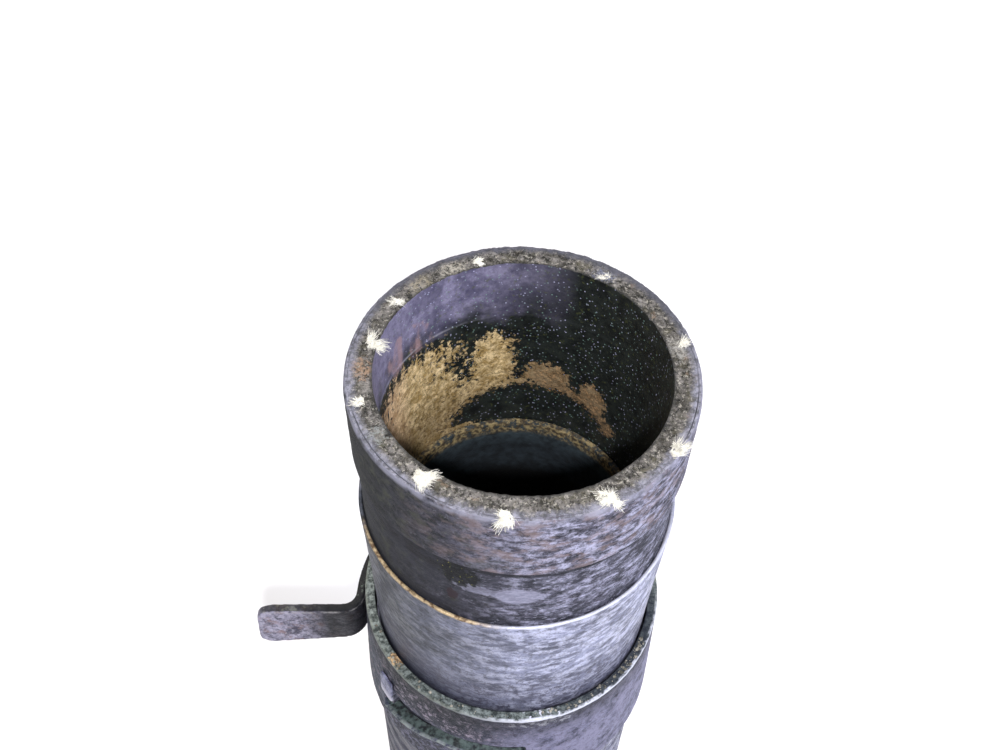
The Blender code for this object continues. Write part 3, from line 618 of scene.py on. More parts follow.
def makeHose():
    for name, (inner, outer, foot, node, slotName) in hoseCut["layers"].items():
        outline = layerOutline(name, inner, outer, foot, hoseFace / mm)
        piece = turnedPiece(name, outline, hoseCut["corners"])
        weightWhere(piece, lambda co: 1 if co.z > hoseFace - 0.3 * mm else 0)
        roughen(piece, hoseCut["grain"], hoseCut["tear"], along="Z")
        roughen(piece, hoseCut["fineGrain"], hoseCut["fineTear"], along="Z")
        piece.vertex_groups.clear()
        if name in ("hoseCover", "hoseWrap"):
            reshape(piece, lambda co: handled(co, outer))
        if name == "hoseLiner":
            layClay(piece, inner)
        pickOnly(piece)
        bpy.ops.object.shade_smooth_by_angle(angle=radians(60))
        piece.data.materials.append(hoseShades["bore" if name == "hoseLiner" else "cover"])
        piece.data.materials.append(hoseShades["cut"])
        lowest = hoseFace - hoseCut["cutDepth"] * mm
        for face in piece.data.polygons:
            out = hypot(face.center.x, face.center.y) / mm
            if face.center.z > lowest and out < hoseCut["cutEdge"] and face.normal.z > 0.2:
                face.material_index = 1
        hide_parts(node)
        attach(piece, "hose_end")


makeHose()
print("hose layers made")


# frayed cord ends

tufts = {
    # radius, angle, spread, locks, filaments in a lock, lean outwards, lean along the rim, length
    "spots": [
        (56.2, 16, 1.5, 4, 45, 0.3, -0.5, 4.2), (54.6, 59, 1.7, 4, 40, -0.2, 0.5, 3.4),
        (52.8, 111, 2.2, 5, 40, -0.2, 0.4, 3.2), (54.2, 147, 1.7, 4, 50, -0.3, 0.5, 3.6),
        (53.9, 172, 1.5, 5, 60, -1.0, 0.2, 5.4), (56.0, 199, 1.5, 4, 40, 0.3, 0.4, 3.2),
        (55.2, 236, 2.0, 9, 75, -0.1, 1.0, 5.8), (57.8, 267, 1.4, 6, 70, 0.9, -0.2, 5.0),
        (57.8, 301, 1.5, 7, 70, 0.4, -0.9, 5.4), (58.4, 328, 1.5, 6, 60, 0.5, 0.5, 5.0)],
    "thick": 0.13,  # a real filament is 0.03 mm, drawn coarser so that it shows
}


def makeFilament():
    # a tapering three-sided thread, 1 mm tall, five joints
    dropSelection()
    bpy.ops.mesh.primitive_cone_add(vertices=3, radius1=1.0, radius2=0.35, depth=1, location=(0, 0, 0.5))
    thread = bpy.context.object
    thread.name = "filament"
    bpy.ops.object.transform_apply(location=True)
    bpy.ops.object.mode_set(mode="EDIT")
    for height in (0.2, 0.4, 0.6, 0.8):
        bpy.ops.mesh.select_all(action="SELECT")
        bpy.ops.mesh.bisect(plane_co=(0, 0, height), plane_no=(0, 0, 1))
    bpy.ops.object.mode_set(mode="OBJECT")
    bpy.ops.object.shade_smooth()
    return thread


def growTuft(number, thread, spot):
    radius, angle, spread, locks, count, lean, drift, length = spot
    turn = radians(angle)
    outwards, along = Vector((cos(turn), sin(turn), 0)), Vector((-sin(turn), cos(turn), 0))
    root = outwards * radius * mm + Vector((0, 0, hoseFace - 0.5 * mm))
    strands = []
    for _ in range(locks):
        # filaments of one lock start together and stay nearly side by side
        lockRoot = root + outwards * dice.gauss(0, spread * 0.6) * mm + along * dice.gauss(0, spread * 0.6) * mm
        lockWay = outwards * (lean + dice.gauss(0, 0.4)) + along * (drift + dice.gauss(0, 0.45))
        lockWay += Vector((0, 0, 0.3 + 0.35 * dice.random()))
        lockWay.normalize()
        lockLong = length * (0.55 + 0.55 * dice.random())
        lockCurl = Vector((dice.gauss(0, 0.35), dice.gauss(0, 0.35), -0.25 * dice.random()))
        for _ in range(count):
            strand = thread.copy()
            strand.data = thread.data.copy()
            bpy.context.collection.objects.link(strand)
            long = lockLong * (0.5 + 0.55 * dice.random()) * mm
            thick = tufts["thick"] * (0.7 + 0.6 * dice.random()) * mm
            start = lockRoot + Vector((dice.gauss(0, 0.42), dice.gauss(0, 0.42), dice.uniform(-0.3, 0.2))) * mm
            way = lockWay + Vector((dice.gauss(0, 0.2), dice.gauss(0, 0.2), dice.gauss(0, 0.16)))
            way.normalize()
            droop = lockCurl + Vector((dice.gauss(0, 0.16), dice.gauss(0, 0.16), dice.gauss(0, 0.12)))
            side = way.orthogonal().normalized()
            other = way.cross(side)
            wave, beat = dice.random() * 2 * pi, 3 + 3 * dice.random()
            for vert in strand.data.vertices:
                share = vert.co.z
                curl = sin(wave + beat * share) * 0.09 * share
                vert.co = (start + way * share * long + droop * share * share * long + side * curl * long
                           + (side * vert.co.x + other * vert.co.y) * thick)
            strands.append(strand)
    dropSelection()
    for strand in strands:
        strand.select_set(True)
    bpy.context.view_layer.objects.active = strands[0]
    bpy.ops.object.join()
    tuft = bpy.context.object
    tuft.name = tuft.data.name = "frayedCord%02d" % number
    # filaments that dip below the cut face lie on it instead
    lowest = hoseFace + 0.15 * mm
    reshape(tuft, lambda co: Vector((co.x, co.y, co.z if co.z > lowest or hypot(co.x, co.y) < 51 * mm
                                     else lowest - (lowest - co.z) * 0.2)))
    tuft.data.materials.append(hoseShades["yarn"])
    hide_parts("yarn_end_%02d" % number)
    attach(tuft, "hose_end")


thread = makeFilament()
for number, spot in enumerate(tufts["spots"], 1):
    growTuft(number, thread, spot)
bpy.data.objects.remove(thread)
print("cord ends frayed")


# materials of the metal parts

def drawnSteel():
    # zinc-plated steel tube, drawn and then pressed: silvery, rubbed round the run, with a painted highlight on
    # its front right, dull and painted dark as shade on its left
    # white rust and dirt cover much of it, so it is only part metallic, and its pores of 0.3 mm are
    # drawn 1.4 mm wide so that they show
    startMaterial("zincPlatedDrawnSteel")
    broad = speckle(22, 0.3, 0.7, flat=2, detail=5)
    shade = over("#5b5d6d", "#9da1ba", broad)
    # painted highlight: the rubbed streaks are palest on the front right, the side facing the lamps
    rubbedAndSheen = speckle(7, 0.42, 0.6, flat=2.2, detail=5, rough=0.62, shift=11)
    lit = facing(262, 350, 18)
    shade = over(shade, "#d0d3ea", rubbedAndSheen, addNode("MapRange", (lit, 0, 1, 0.3, 0.75)))
    scratch = speckle(3, 0.47, 0.6, detail=9, rough=0.8, shift=41)
    shade = over(shade, "#50515c", 0.6, scratch)
    pores = speckle(1.4, 0.52, 0.62, detail=6, rough=0.75, shift=7)
    shade = over(shade, "#43444b", 0.5, pores)
    # painted shade: the left side, away from the lamps, is near black, mottled
    paintedShadeSide = facing(140, 249, 24)
    mottle = speckle(4, 0.34, 0.66, detail=8, rough=0.8, shift=52)
    shade = over(shade, "#121a18", 0.95, paintedShadeSide, addNode("MapRange", (mottle, 0, 1, 0.72, 1.0)))
    low = addNode("MapRange", (paint["height"], 243, 224))
    shade = over(shade, "#434253", low, addNode("MapRange", (scratch, 0, 1, 0.35, 0.85)))
    # the rolled lip: rust on one side, bare and pale on the other
    wander = speckle(4, 0.2, 0.8, detail=5, shift=82)
    lip = addNode("Math", (wander, 0.9, paint["height"]), operation="MULTIPLY_ADD")
    lip = addNode("MapRange", (lip, 280.5, 281.1))
    rustSide = facing(205, 262, 8)
    rust = over("#6a5540", "#c2ad88", speckle(2, 0.35, 0.6, detail=4, shift=33))
    shade = over(shade, rust, lip, rustSide)
    bareSide = facing(268, 352, 8)
    shade = over(shade, "#cfd0da", 0.75, lip, bareSide)
    relief = speckle(4, 0.2, 0.8, flat=1.4, detail=6, rough=0.65, shift=3)
    gloss = addNode("MapRange", (rubbedAndSheen, 0, 1, 0.55, 0.42))
    return finishMaterial({
        "Base Color": shade, "Metallic": 0.4, "Roughness": gloss, "Specular IOR Level": 0.2}, relief, 0.25)


def castIron():
    # ductile iron casting, blackened and then worn: purple-grey bare walls, dirt and grit on the rim, painted
    # light on its front right, painted shade on its left and in its recesses
    # its black oxide is hardly metallic, and moulding sand of 0.3 mm is drawn 1.5 mm wide so that it shows
    startMaterial("wornDuctileIron")
    base = speckle(4, 0.4, 0.6, detail=9, rough=0.8)
    shade = over("#2a2b3a", "#6d6d88", base)
    # painted light: the front right, the side facing the lamps, is lighter
    lit = facing(268, 380, 14)
    shade = over(shade, "#8b89a2", 0.8, lit, speckle(10, 0.35, 0.6, detail=7, rough=0.7, shift=24))
    dots = speckle(1.5, 0.53, 0.63, detail=6, rough=0.75, shift=17)
    shade = over(shade, "#3a3b43", 0.5, dots)
    # painted shade: the left side, away from the lamps, is darker and bluish, mottled
    paintedShadeBellSide = facing(110, 250, 18)
    mottle = speckle(4, 0.35, 0.6, detail=6, rough=0.7, shift=52)
    shade = over(shade, "#2b363f", 0.85, paintedShadeBellSide, addNode("MapRange", (mottle, 0, 1, 0.5, 1.0)))
    warm = speckle(3, 0.6, 0.68, detail=4, shift=71)
    shade = over(shade, "#9a8288", 0.8, warm, paintedShadeBellSide)
    # rim: black-green dirt with pale specks, its outer edge worn to bare metal and, as a painted highlight,
    # brightest on the front right
    rim = addNode("MapRange", (paint["height"], 205.9, 206.3))
    dirt = over("#2c3230", "#8b9490", speckle(2.6, 0.4, 0.66, detail=8, rough=0.75, shift=9))
    dirt = over(dirt, "#232733", 0.75, facing(296, 360, 12))
    shade = over(shade, dirt, rim)
    rustSpot = dabAt(221, 60.8, 206.7, 3.6)
    shade = over(shade, over("#6e5843", "#c8a97f", speckle(1.5, 0.4, 0.6, shift=6)), rustSpot, rim)
    wander = speckle(3, 0.2, 0.8, detail=4, shift=64)
    edge = addNode("Math", (wander, -0.9, paint["height"]), operation="MULTIPLY_ADD")
    edgeLine = between(edge, 204.8, 206.2, 0.25)
    worn = between(paint["radius"], 62.9, 66, 0.2)
    # painted highlight: the worn edge is palest and strongest on the front right
    bright = over("#8f958a", "#d3d5de", facing(262, 352, 12))
    shade = over(shade, bright, edgeLine, worn, addNode("MapRange", (lit, 0, 1, 0.45, 0.95)))
    chips = patchAt(284, 203.2, 13, 3.2, ragged=0.9, size=2)
    shade = over(shade, "#dcdde8", chips, speckle(2.2, 0.47, 0.56, flat=1.6, detail=4, shift=37))
    # the slots' lower edges are rubbed bright, the wall over them is blue-black with pinkish flecks
    ledgeHeight = addNode("MapRange", (paint["turn"], 215, 245, 153.4, 168.6))
    slotSide = facing(214, 280, 1.5)
    rise = addNode("Math", (paint["height"], ledgeHeight), operation="SUBTRACT")
    shoulder = between(paint["height"], 183, 203, 2.5)
    blueBlack = over("#161b28", "#9a8f9d", speckle(2.6, 0.5, 0.62, detail=8, rough=0.78, shift=93))
    shade = over(shade, blueBlack, 0.9, shoulder, facing(214, 266, 10))
    under = between(rise, -30, -1.5, 1)
    soot = over("#141722", "#6b6a80", speckle(2.6, 0.46, 0.62, detail=8, rough=0.78, shift=48))
    shade = over(shade, soot, 0.9, under, facing(200, 262, 22))
    edgeWear = speckle(4, 0.35, 0.6, detail=6, rough=0.7, shift=58)
    shade = over(shade, "#a9b3ad", 0.8, between(rise, -0.9, 0.1, 0.3), slotSide, edgeWear)
    # painted shade: the slots' walls and everything behind them are painted near black, with teal-grey mottling
    # on the ledge
    inside = addNode("MapRange", (paint["radius"], 64.6, 63.9))
    underRim = addNode("MapRange", (paint["height"], 205.5, 205))
    ledge = between(paint["height"], 150, 173, 2)
    recessShadeAndLedge = over("#121315", "#5b6a66", ledge, speckle(2.4, 0.34, 0.62, detail=6, shift=5))
    shade = over(shade, recessShadeAndLedge, 0.9, inside, underRim)
    relief = speckle(1.6, 0.2, 0.8, detail=7, rough=0.7, shift=3)
    gloss = addNode("MapRange", (base, 0, 1, 0.68, 0.52))
    return finishMaterial({
        "Base Color": shade, "Metallic": 0.15, "Roughness": gloss, "Specular IOR Level": 0.22}, relief, 0.22)


def forgedSteel():
    # flat bar, hot bent, oil-blackened: black-green edges, rubbed purple-grey face, thin rust, and painted
    # shade that makes the bend by the bell near black
    # forge scale of 0.5 mm is drawn 1 to 2 mm wide so that it shows
    startMaterial("oilBlackenedBar")
    base = speckle(5, 0.38, 0.62, detail=9, rough=0.78)
    shade = over("#434153", "#aeaabf", base)
    rust = speckle(7, 0.5, 0.62, detail=6, rough=0.7, shift=14)
    shade = over(shade, "#8a6f6e", 0.75, rust)
    dots = speckle(1.1, 0.57, 0.68, detail=4, shift=36)
    shade = over(shade, "#26262b", 0.6, dots)
    scale = speckle(1.6, 0.55, 0.63, detail=6, rough=0.75, shift=83)
    shade = over(shade, "#b7b5c0", 0.55, scale)
    rub = dabAt(178, 106, 187, 9)
    shade = over(shade, "#b4b0bd", 0.8, rub, speckle(3, 0.4, 0.6, detail=7, rough=0.75, shift=51))
    tilt = addNode("SeparateXYZ", {"Vector": addNode("NewGeometry", give="True Normal")}, "Z")
    upper = addNode("MapRange", (tilt, 0.35, 0.8))
    oil = over("#191c1c", "#5a5d52", speckle(2.2, 0.5, 0.68, detail=5, shift=47))
    shade = over(shade, oil, 0.9, upper)
    # painted shade: near the bell, where the bar bends in, it is near black
    away = addNode("MapRange", (paint["radius"], 97, 82))
    shade = over(shade, "#06080c", 0.94, away)
    hug = dabAt(178, 69.5, 187, 9)
    shade = over(shade, "#6b756c", 0.7, hug, scale)
    worn = between(paint["height"], 188.0, 189.3, 0.25)
    shade = over(shade, "#a9a6a4", 0.6, worn, speckle(3, 0.42, 0.6, detail=6, rough=0.7, shift=62))
    relief = speckle(1.8, 0.2, 0.8, detail=7, rough=0.7, shift=3)
    gloss = addNode("MapRange", (base, 0, 1, 0.62, 0.45))
    return finishMaterial({
        "Base Color": shade, "Metallic": 0.2, "Roughness": gloss, "Specular IOR Level": 0.3}, relief, 0.2)


def rubbedLug():
    # forged lug head, rubbed bare by hands and stones: blue-grey, paler towards its foot
    startMaterial("rubbedForgedSteel")
    shade = over("#4b4d63", "#8d8fa8", speckle(3, 0.38, 0.62, detail=8, rough=0.75))
    foot = addNode("MapRange", (paint["height"], 179.5, 174.5))
    shade = over(shade, "#cfcdd8", 0.75, foot)
    mottle = speckle(2, 0.54, 0.64, detail=6, rough=0.7, shift=31)
    shade = over(shade, "#2d2f36", 0.7, mottle)
    relief = speckle(1.6, 0.2, 0.8, detail=7)
    return finishMaterial({
        "Base Color": shade, "Metallic": 0.3, "Roughness": 0.5, "Specular IOR Level": 0.3}, relief, 0.2)


def machinedSteel(name, low, high):
    # turned alloy steel under old grease: fine rings, dark film, bright where it slides
    # turning marks of 0.2 mm are drawn 0.7 mm apart so that they show
    startMaterial(name)
    rings = speckle(2, 0.3, 0.7, wide=0.3, flat=3, detail=5)
    shade = over(low, high, rings)
    film = speckle(4, 0.42, 0.62, detail=5, shift=19)
    shade = over(shade, "#1e1f21", 0.7, film)
    gloss = addNode("MapRange", (film, 0, 1, 0.35, 0.6))
    return finishMaterial({"Base Color": shade, "Metallic": 0.8, "Roughness": gloss}, rings, 0.08)


def adapterIron():
    # cast iron shank in the wet bore: blue-black, painted near black as shade deep down, clay lying on its end
    # face
    startMaterial("sandCastIron")
    shade = over("#11171b", "#262f35", speckle(4, 0.3, 0.7, detail=5))
    # painted shade: below 223 to 229 mm the shank is near black
    depth = addNode("MapRange", (paint["height"], 229, 223))
    shade = over(shade, "#030405", depth)
    upper = addNode("MapRange", (paint["height"], 243, 251))
    shade = over(shade, "#39454a", 0.9, upper, speckle(3, 0.3, 0.65, detail=5, shift=15))
    band = addNode("MapRange", (paint["height"], 251, 254))
    clay = over("#453b2c", "#9b8a62", speckle(1.8, 0.4, 0.62, detail=5, shift=25))
    shade = over(shade, clay, band, speckle(3.5, 0.4, 0.52, detail=7, rough=0.78, shift=45))
    relief = speckle(1.4, 0.2, 0.8, detail=6, shift=3)
    return finishMaterial({"Base Color": shade, "Metallic": 0.1, "Roughness": 0.7}, relief, 0.3)


def sealRubber(name, low, high):
    # moulded rubber or rubberised cord: an even tone with a dusty bloom
    startMaterial(name)
    shade = over(low, high, speckle(3, 0.35, 0.65, detail=5))
    bloom = speckle(0.8, 0.3, 0.7)
    return finishMaterial({"Base Color": shade, "Roughness": 0.7, "Specular IOR Level": 0.4}, bloom, 0.06)


def driedClay():
    # river clay and sand, dried in crumbs
    startMaterial("driedClayCrumbs")
    shade = over("#4e4d45", "#a8a293", speckle(2.4, 0.35, 0.65, detail=4))
    grit = speckle(0.5, 0.3, 0.7)
    return finishMaterial({"Base Color": shade, "Roughness": 0.95}, grit, 0.1)


metalShades = {
    "sleeve": drawnSteel(), "bell": castIron(), "lever": forgedSteel(), "adapter": adapterIron(),
    "lug": rubbedLug(),
    "ring": machinedSteel("turnedAlloySteel", "#6b6b78", "#9a9aac"),
    "screw": machinedSteel("machinedScrewSteel", "#74747a", "#a5a5ac"),
    "seal": sealRubber("mouldedNitrile", "#141414", "#2a2a29"),
    "carcass": sealRubber("rubberisedTyreCord", "#37342c", "#57513f"),
    "clay": driedClay(),
}
print("metal materials made")


# upper and lower ferrules and the lower hose

def dented(co, scale, depth):
    out = hypot(co.x, co.y)
    soft = noise.noise(co / (scale * mm)) * depth
    soft += noise.noise(Vector((co.x, co.y, co.z * 3)) / (9 * mm)) * depth * 0.35
    return co + Vector((co.x, co.y, 0)) * (soft * mm / out)


def makeSleeve():
    foot, top, lip, rounding = (sleeve[key] for key in ("foot", "top", "lip", "lipRounding"))
    heights = [foot + (top - 1.2 - foot) * i / sleeve["rings"] for i in range(sleeve["rings"] + 1)]
    outer = [(sleeveRadius(h), h) for h in heights]
    rim = roundedCorner((lip - rounding, top - rounding), rounding, 0, 180, 8)
    inner = [(sleeveRadius(h) - sleeve["wall"], h) for h in heights[-4::-6]]
    piece = turnedPiece("upperSleeve", outer + rim + inner, sleeve["corners"])
    reshape(piece, lambda co: dented(co, sleeve["dentSize"], sleeve["dent"]))
    pickOnly(piece)
    bpy.ops.object.shade_smooth_by_angle(angle=radians(50))
    piece.data.materials.append(metalShades["sleeve"])
    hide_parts("ferrule")
    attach(piece, "hose_end")


tail = {
    "corners": 320, "wall": 3.4, "rounding": 1.0,
    # pressed in by six jaws: half width and depth of each shallow groove where one bit
    "jaws": 6, "firstJaw": 16, "jawPitch": 18, "groove": [(5, 0), (3.6, 0.25), (2.4, 0.7)],
    "hoseCorners": 384, "ring": 0.6, "grain": 2.6, "tear": 0.3, "shown": 14,
    "layers": {  # inner and outer radius, node, material, slot
        "lowerHoseLiner": (51.1, 53.75, "tail_hose_tube", hoseShades["bore"], "hose_liner"),
        "lowerHosePly": (53.75, 56.25, "tail_hose_ply", metalShades["carcass"], "hose_carcass"),
        "lowerHoseCover": (56.25, 59.3, "tail_hose_cover", hoseShades["cover"], "hose_rubber"),
    },
}


def makeLowerSleeve():
    low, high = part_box("tail_ferrule")
    outer, foot, top = high.x / mm, low.z / mm, high.z / mm
    wall, rounding = outer - tail["wall"], tail["rounding"]
    outline = [(wall, foot + 0.6), (wall + 0.5, foot)]
    outline += roundedCorner((outer - rounding, foot + rounding), rounding, -90, 0)
    for i in range(tail["jaws"]):
        middle = foot + tail["firstJaw"] + i * tail["jawPitch"]
        outline += [(outer - deep, middle - half) for half, deep in tail["groove"]]
        outline += [(outer - deep, middle + half) for half, deep in reversed(tail["groove"])]
    outline += roundedCorner((outer - rounding, top - rounding), rounding, 0, 90)
    outline += [(wall + 0.5, top), (wall, top - 0.6)]
    piece = turnedPiece("lowerSleeve", outline, tail["corners"])
    piece.data.materials.append(metalShades["sleeve"])
    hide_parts("tail_ferrule")
    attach(piece, "coupler")


def makeLowerHose():
    for name, (inner, outer, node, shade, slotName) in tail["layers"].items():
        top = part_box(node)[1].z / mm
        outline = [*stepped((outer, 0), (inner, 0), tail["ring"]), (inner, 0), (inner, top), (outer, top)]
        if name == "lowerHoseCover":
            outline += stepped((outer, tail["shown"]), (outer, 0.4), 1.5)
        else:
            outline += [(outer, 0.4)]
        piece = turnedPiece(name, outline, tail["hoseCorners"])
        weightWhere(piece, lambda co: 1 if co.z < 0.1 * mm else 0)
        roughen(piece, tail["grain"], tail["tear"], along="Z")
        reshape(piece, lambda co: Vector((co.x, co.y, max(co.z, 0))))
        piece.vertex_groups.clear()
        if name == "lowerHoseLiner":
            clay = piece.data.attributes.new("clay", "FLOAT", "POINT")
            for vert in piece.data.vertices:
                clay.data[vert.index].value = hoseCut["noClay"]
        piece.data.materials.append(shade)
        piece.data.materials.append(hoseShades["cut"])
        for face in piece.data.polygons:
            if face.center.z < 0.4 * mm and face.normal.z < -0.35:
                face.material_index = 1
        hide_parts(node)
        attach(piece, "coupler")


makeSleeve()
makeLowerSleeve()
makeLowerHose()
print("sleeves and lower hose made")


# the bell

bell = {
    "corners": 480, "rim": 63.9, "foot": 66.2, "bore": 59.8, "step": 1.1,
    "top": 206.7, "bottom": 144.3, "neck": 58.0, "neckFoot": 138.3, "shank": 50.4, "shankFoot": 28.3,
    "runBore": 47.5, "seat": 149.0, "seatRadius": 56.4, "shelf": 152.9,
    "windowTop": 182.1, "windowFoot": 168.6, "windowCorner": 3.0,
    "windows": [(215.0, 64.0, 15.2), (35.0, 64.0, 15.2), (118.5, 73.2, 0.0)],  # start, span, drop of the ramp
    "rampSpan": 30.0, "rounding": 0.8,
    "flare": [(-1.6, 0), (-0.75, 0.22), (-0.25, 0.6), (0.9, 1.6)],  # how a window grows towards the outside
    "cutFrom": 58.5,  # the cutters start this far out
    "seam": 186.0,  # the outline starts and ends at this height in the bore
    "rimInside": 0.5, "rimOutside": 0.7, "heel": 1.4,  # how round its edges are
    "cast": 0.22, "castGrain": 2.2, "castWave": 9,
}
perDegree = pi * bell["foot"] / 180  # mm of the wall in one degree


def makeWindowCutter(start, span, drop):
    # drawn flat, pulled through the wall with a flare where it comes out, then wrapped round the run
    foot, inner = bell["windowFoot"], bell["cutFrom"]
    width, tall = span * perDegree, bell["windowTop"] - foot
    dropSelection()
    bpy.ops.mesh.primitive_grid_add(x_subdivisions=int(span / 1.5), y_subdivisions=2, size=1)
    piece = bpy.context.object
    bpy.ops.object.mode_set(mode="EDIT")
    bpy.ops.mesh.select_all(action="SELECT")
    bpy.ops.transform.resize(value=(width * mm, tall * mm, 1), center_override=(0, 0, 0))
    bpy.ops.transform.translate(value=(width / 2 * mm, tall / 2 * mm, 0))
    bpy.ops.object.mode_set(mode="OBJECT")
    rampLong = bell["rampSpan"] * perDegree * mm
    reshape(piece, lambda co: Vector((
        co.x, co.y - (drop * max(0, 1 - co.x / rampLong) * mm if co.y < 0.1 * mm else 0), 0)))
    corners = [(0, -drop * mm), (0, tall * mm), (width * mm, 0), (width * mm, tall * mm)]
    editPick(piece, lambda co: any(hypot(co.x - x, co.y - y) < 0.01 * mm for x, y in corners))
    bpy.ops.mesh.bevel(affect="VERTICES", offset=bell["windowCorner"] * mm, segments=5, profile=0.5)
    bpy.ops.mesh.select_all(action="SELECT")
    reached, grown = inner, 0
    middle = (width / 2 * mm, (tall - drop * 0.4) / 2 * mm, 0)
    for beyond, grow in bell["flare"]:
        radius, grow = bell["foot"] + beyond, grow * bell["rounding"]
        bpy.ops.mesh.extrude_region_move(TRANSFORM_OT_translate={"value": (0, 0, (radius - reached) * mm)})
        share = ((width + 2 * grow) / (width + 2 * grown), (tall + 2 * grow) / (tall + 2 * grown), 1)
        bpy.ops.transform.resize(value=share, center_override=middle)
        reached, grown = radius, grow
    bpy.ops.object.mode_set(mode="OBJECT")

    def wrap(co):
        turn = radians(start + co.x / mm / perDegree)
        out = inner * mm + co.z
        return Vector((out * cos(turn), out * sin(turn), foot * mm + co.y))
    reshape(piece, wrap)
    pickOnly(piece)
    bpy.ops.object.mode_set(mode="EDIT")
    bpy.ops.mesh.select_all(action="SELECT")
    bpy.ops.mesh.normals_make_consistent(inside=False)
    bpy.ops.object.mode_set(mode="OBJECT")
    return piece


def bellOutline():
    top, bottom, rim, foot = (bell[key] for key in ("top", "bottom", "rim", "foot"))
    bore, neck, neckFoot, shank, shankFoot = (
        bell[key] for key in ("bore", "neck", "neckFoot", "shank", "shankFoot"))
    inside, outside, heel = bell["rimInside"], bell["rimOutside"], bell["heel"]
    slope = (foot - rim) / (top - bottom)
    outline = [(bore, bell["seam"]), (bore, top - 0.7)]
    outline += roundedCorner((bore + inside, top - inside), inside, 180, 90, 3)
    outline += stepped((bore + 1, top), (rim - 0.9, top), 0.6)
    outline += roundedCorner((rim - outside, top - outside), outside, 90, 0, 4)
    outline += stepped((rim + slope * 1.5, top - 1.5), (foot, bottom + 1.6), bell["step"])
    outline += roundedCorner((foot - heel, bottom + heel), heel, 0, -90, 5)
    outline += [(neck + 1.2, bottom), (neck + 0.3, bottom - 0.3), (neck, bottom - 1.2), (neck, neckFoot)]
    outline += [(shank, neckFoot), (shank, shankFoot + 3), (shank - 1, shankFoot)]
    outline += [(bell["runBore"], shankFoot), (bell["runBore"], bell["seat"])]
    outline += [(bell["seatRadius"], bell["seat"]), (bell["seatRadius"], bell["shelf"])]
    return outline + [(bore, bell["shelf"])]


def makeBell():
    outline = bellOutline()
    piece = turnedPiece("bell", outline, bell["corners"])
    cutters = [makeWindowCutter(*window) for window in bell["windows"]]
    dropSelection()
    for cutter in cutters:
        cutter.select_set(True)
    bpy.context.view_layer.objects.active = cutters[0]
    bpy.ops.object.join()
    cutter = bpy.context.object
    pickOnly(piece)
    cut = piece.modifiers.new("windows", "BOOLEAN")
    cut.object = cutter
    cut.operation = "DIFFERENCE"
    cut.solver = "EXACT"
    bpy.ops.object.modifier_apply(modifier=cut.name)
    bpy.data.objects.remove(cutter)
    weightWhere(piece, lambda co: 1 if hypot(co.x, co.y) > 60.3 * mm and co.z > 143 * mm else 0)
    roughen(piece, bell["castGrain"], bell["cast"])
    roughen(piece, bell["castWave"], bell["cast"] * 0.9)
    piece.vertex_groups.clear()
    pickOnly(piece)
    bpy.ops.object.shade_smooth_by_angle(angle=radians(40))
    piece.data.materials.append(metalShades["bell"])
    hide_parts("coupler_body")
    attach(piece, "coupler")


makeBell()
print("bell made")


# crumbs on the rim

crumbs = {
    # angle, spread and how many
    "spots": [(-34, 12, 60), (-62, 14, 24), (221, 2.5, 12), (250, 30, 22), (120, 60, 40)],
    "size": 0.6, "inner": 60.4, "outer": 63.0,
}


def makeCrumbs():
    dropSelection()
    bpy.ops.mesh.primitive_ico_sphere_add(subdivisions=2, radius=1)
    model = bpy.context.object
    bpy.ops.object.mode_set(mode="EDIT")
    bpy.ops.mesh.select_all(action="SELECT")
    bpy.ops.transform.resize(value=(1, 0.85, 0.6))
    bpy.ops.object.mode_set(mode="OBJECT")
    bpy.ops.object.shade_smooth()
    grains = []
    for angle, spread, count in crumbs["spots"]:
        for _ in range(count):
            grain = model.copy()
            grain.data = model.data.copy()
            bpy.context.collection.objects.link(grain)
            size = crumbs["size"] * (0.35 + 0.9 * dice.random() ** 2) * mm
            turn = radians(dice.gauss(angle, spread * 0.6))
            out = dice.uniform(crumbs["inner"], crumbs["outer"]) * mm
            centre = Vector((out * cos(turn), out * sin(turn), bellRim + size * 0.2))
            spin = Matrix.Rotation(dice.random() * 6.28, 3, "Z")  # any way round
            seed = Vector((dice.random(), dice.random(), dice.random())) * 50
            for vert in grain.data.vertices:
                vert.co = centre + (spin @ vert.co) * size * (1 + 0.7 * noise.noise(vert.co * 1.3 + seed))
            grains.append(grain)
    dropSelection()
    for grain in grains:
        grain.select_set(True)
    bpy.context.view_layer.objects.active = grains[0]
    bpy.ops.object.join()
    piece = bpy.context.object
    piece.name = piece.data.name = "rimCrumbs"
    bpy.data.objects.remove(model)
    piece.data.materials.append(metalShades["clay"])
    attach(piece, "coupler")


makeCrumbs()
print("crumbs made")


# lever, lugs and screws

cam = {
    "leverGrain": 0.5, "leverRub": 9, "leverSwell": 0.2, "leverPits": 0.16, "pitSize": 2.4,
    "head": {"start": 214.4, "span": 8.0, "foot": 172.5, "top": 189.0, "thick": 1.2,
             "corner": 2.0, "edge": 0.45, "gap": 0.25, "pits": 0.12, "cuts": (12, 16)},
    "lugEdge": 0.35,
}


def bellRadius(height):
    return bell["rim"] + (bell["foot"] - bell["rim"]) * (bell["top"] - height) / (bell["top"] - bell["bottom"])


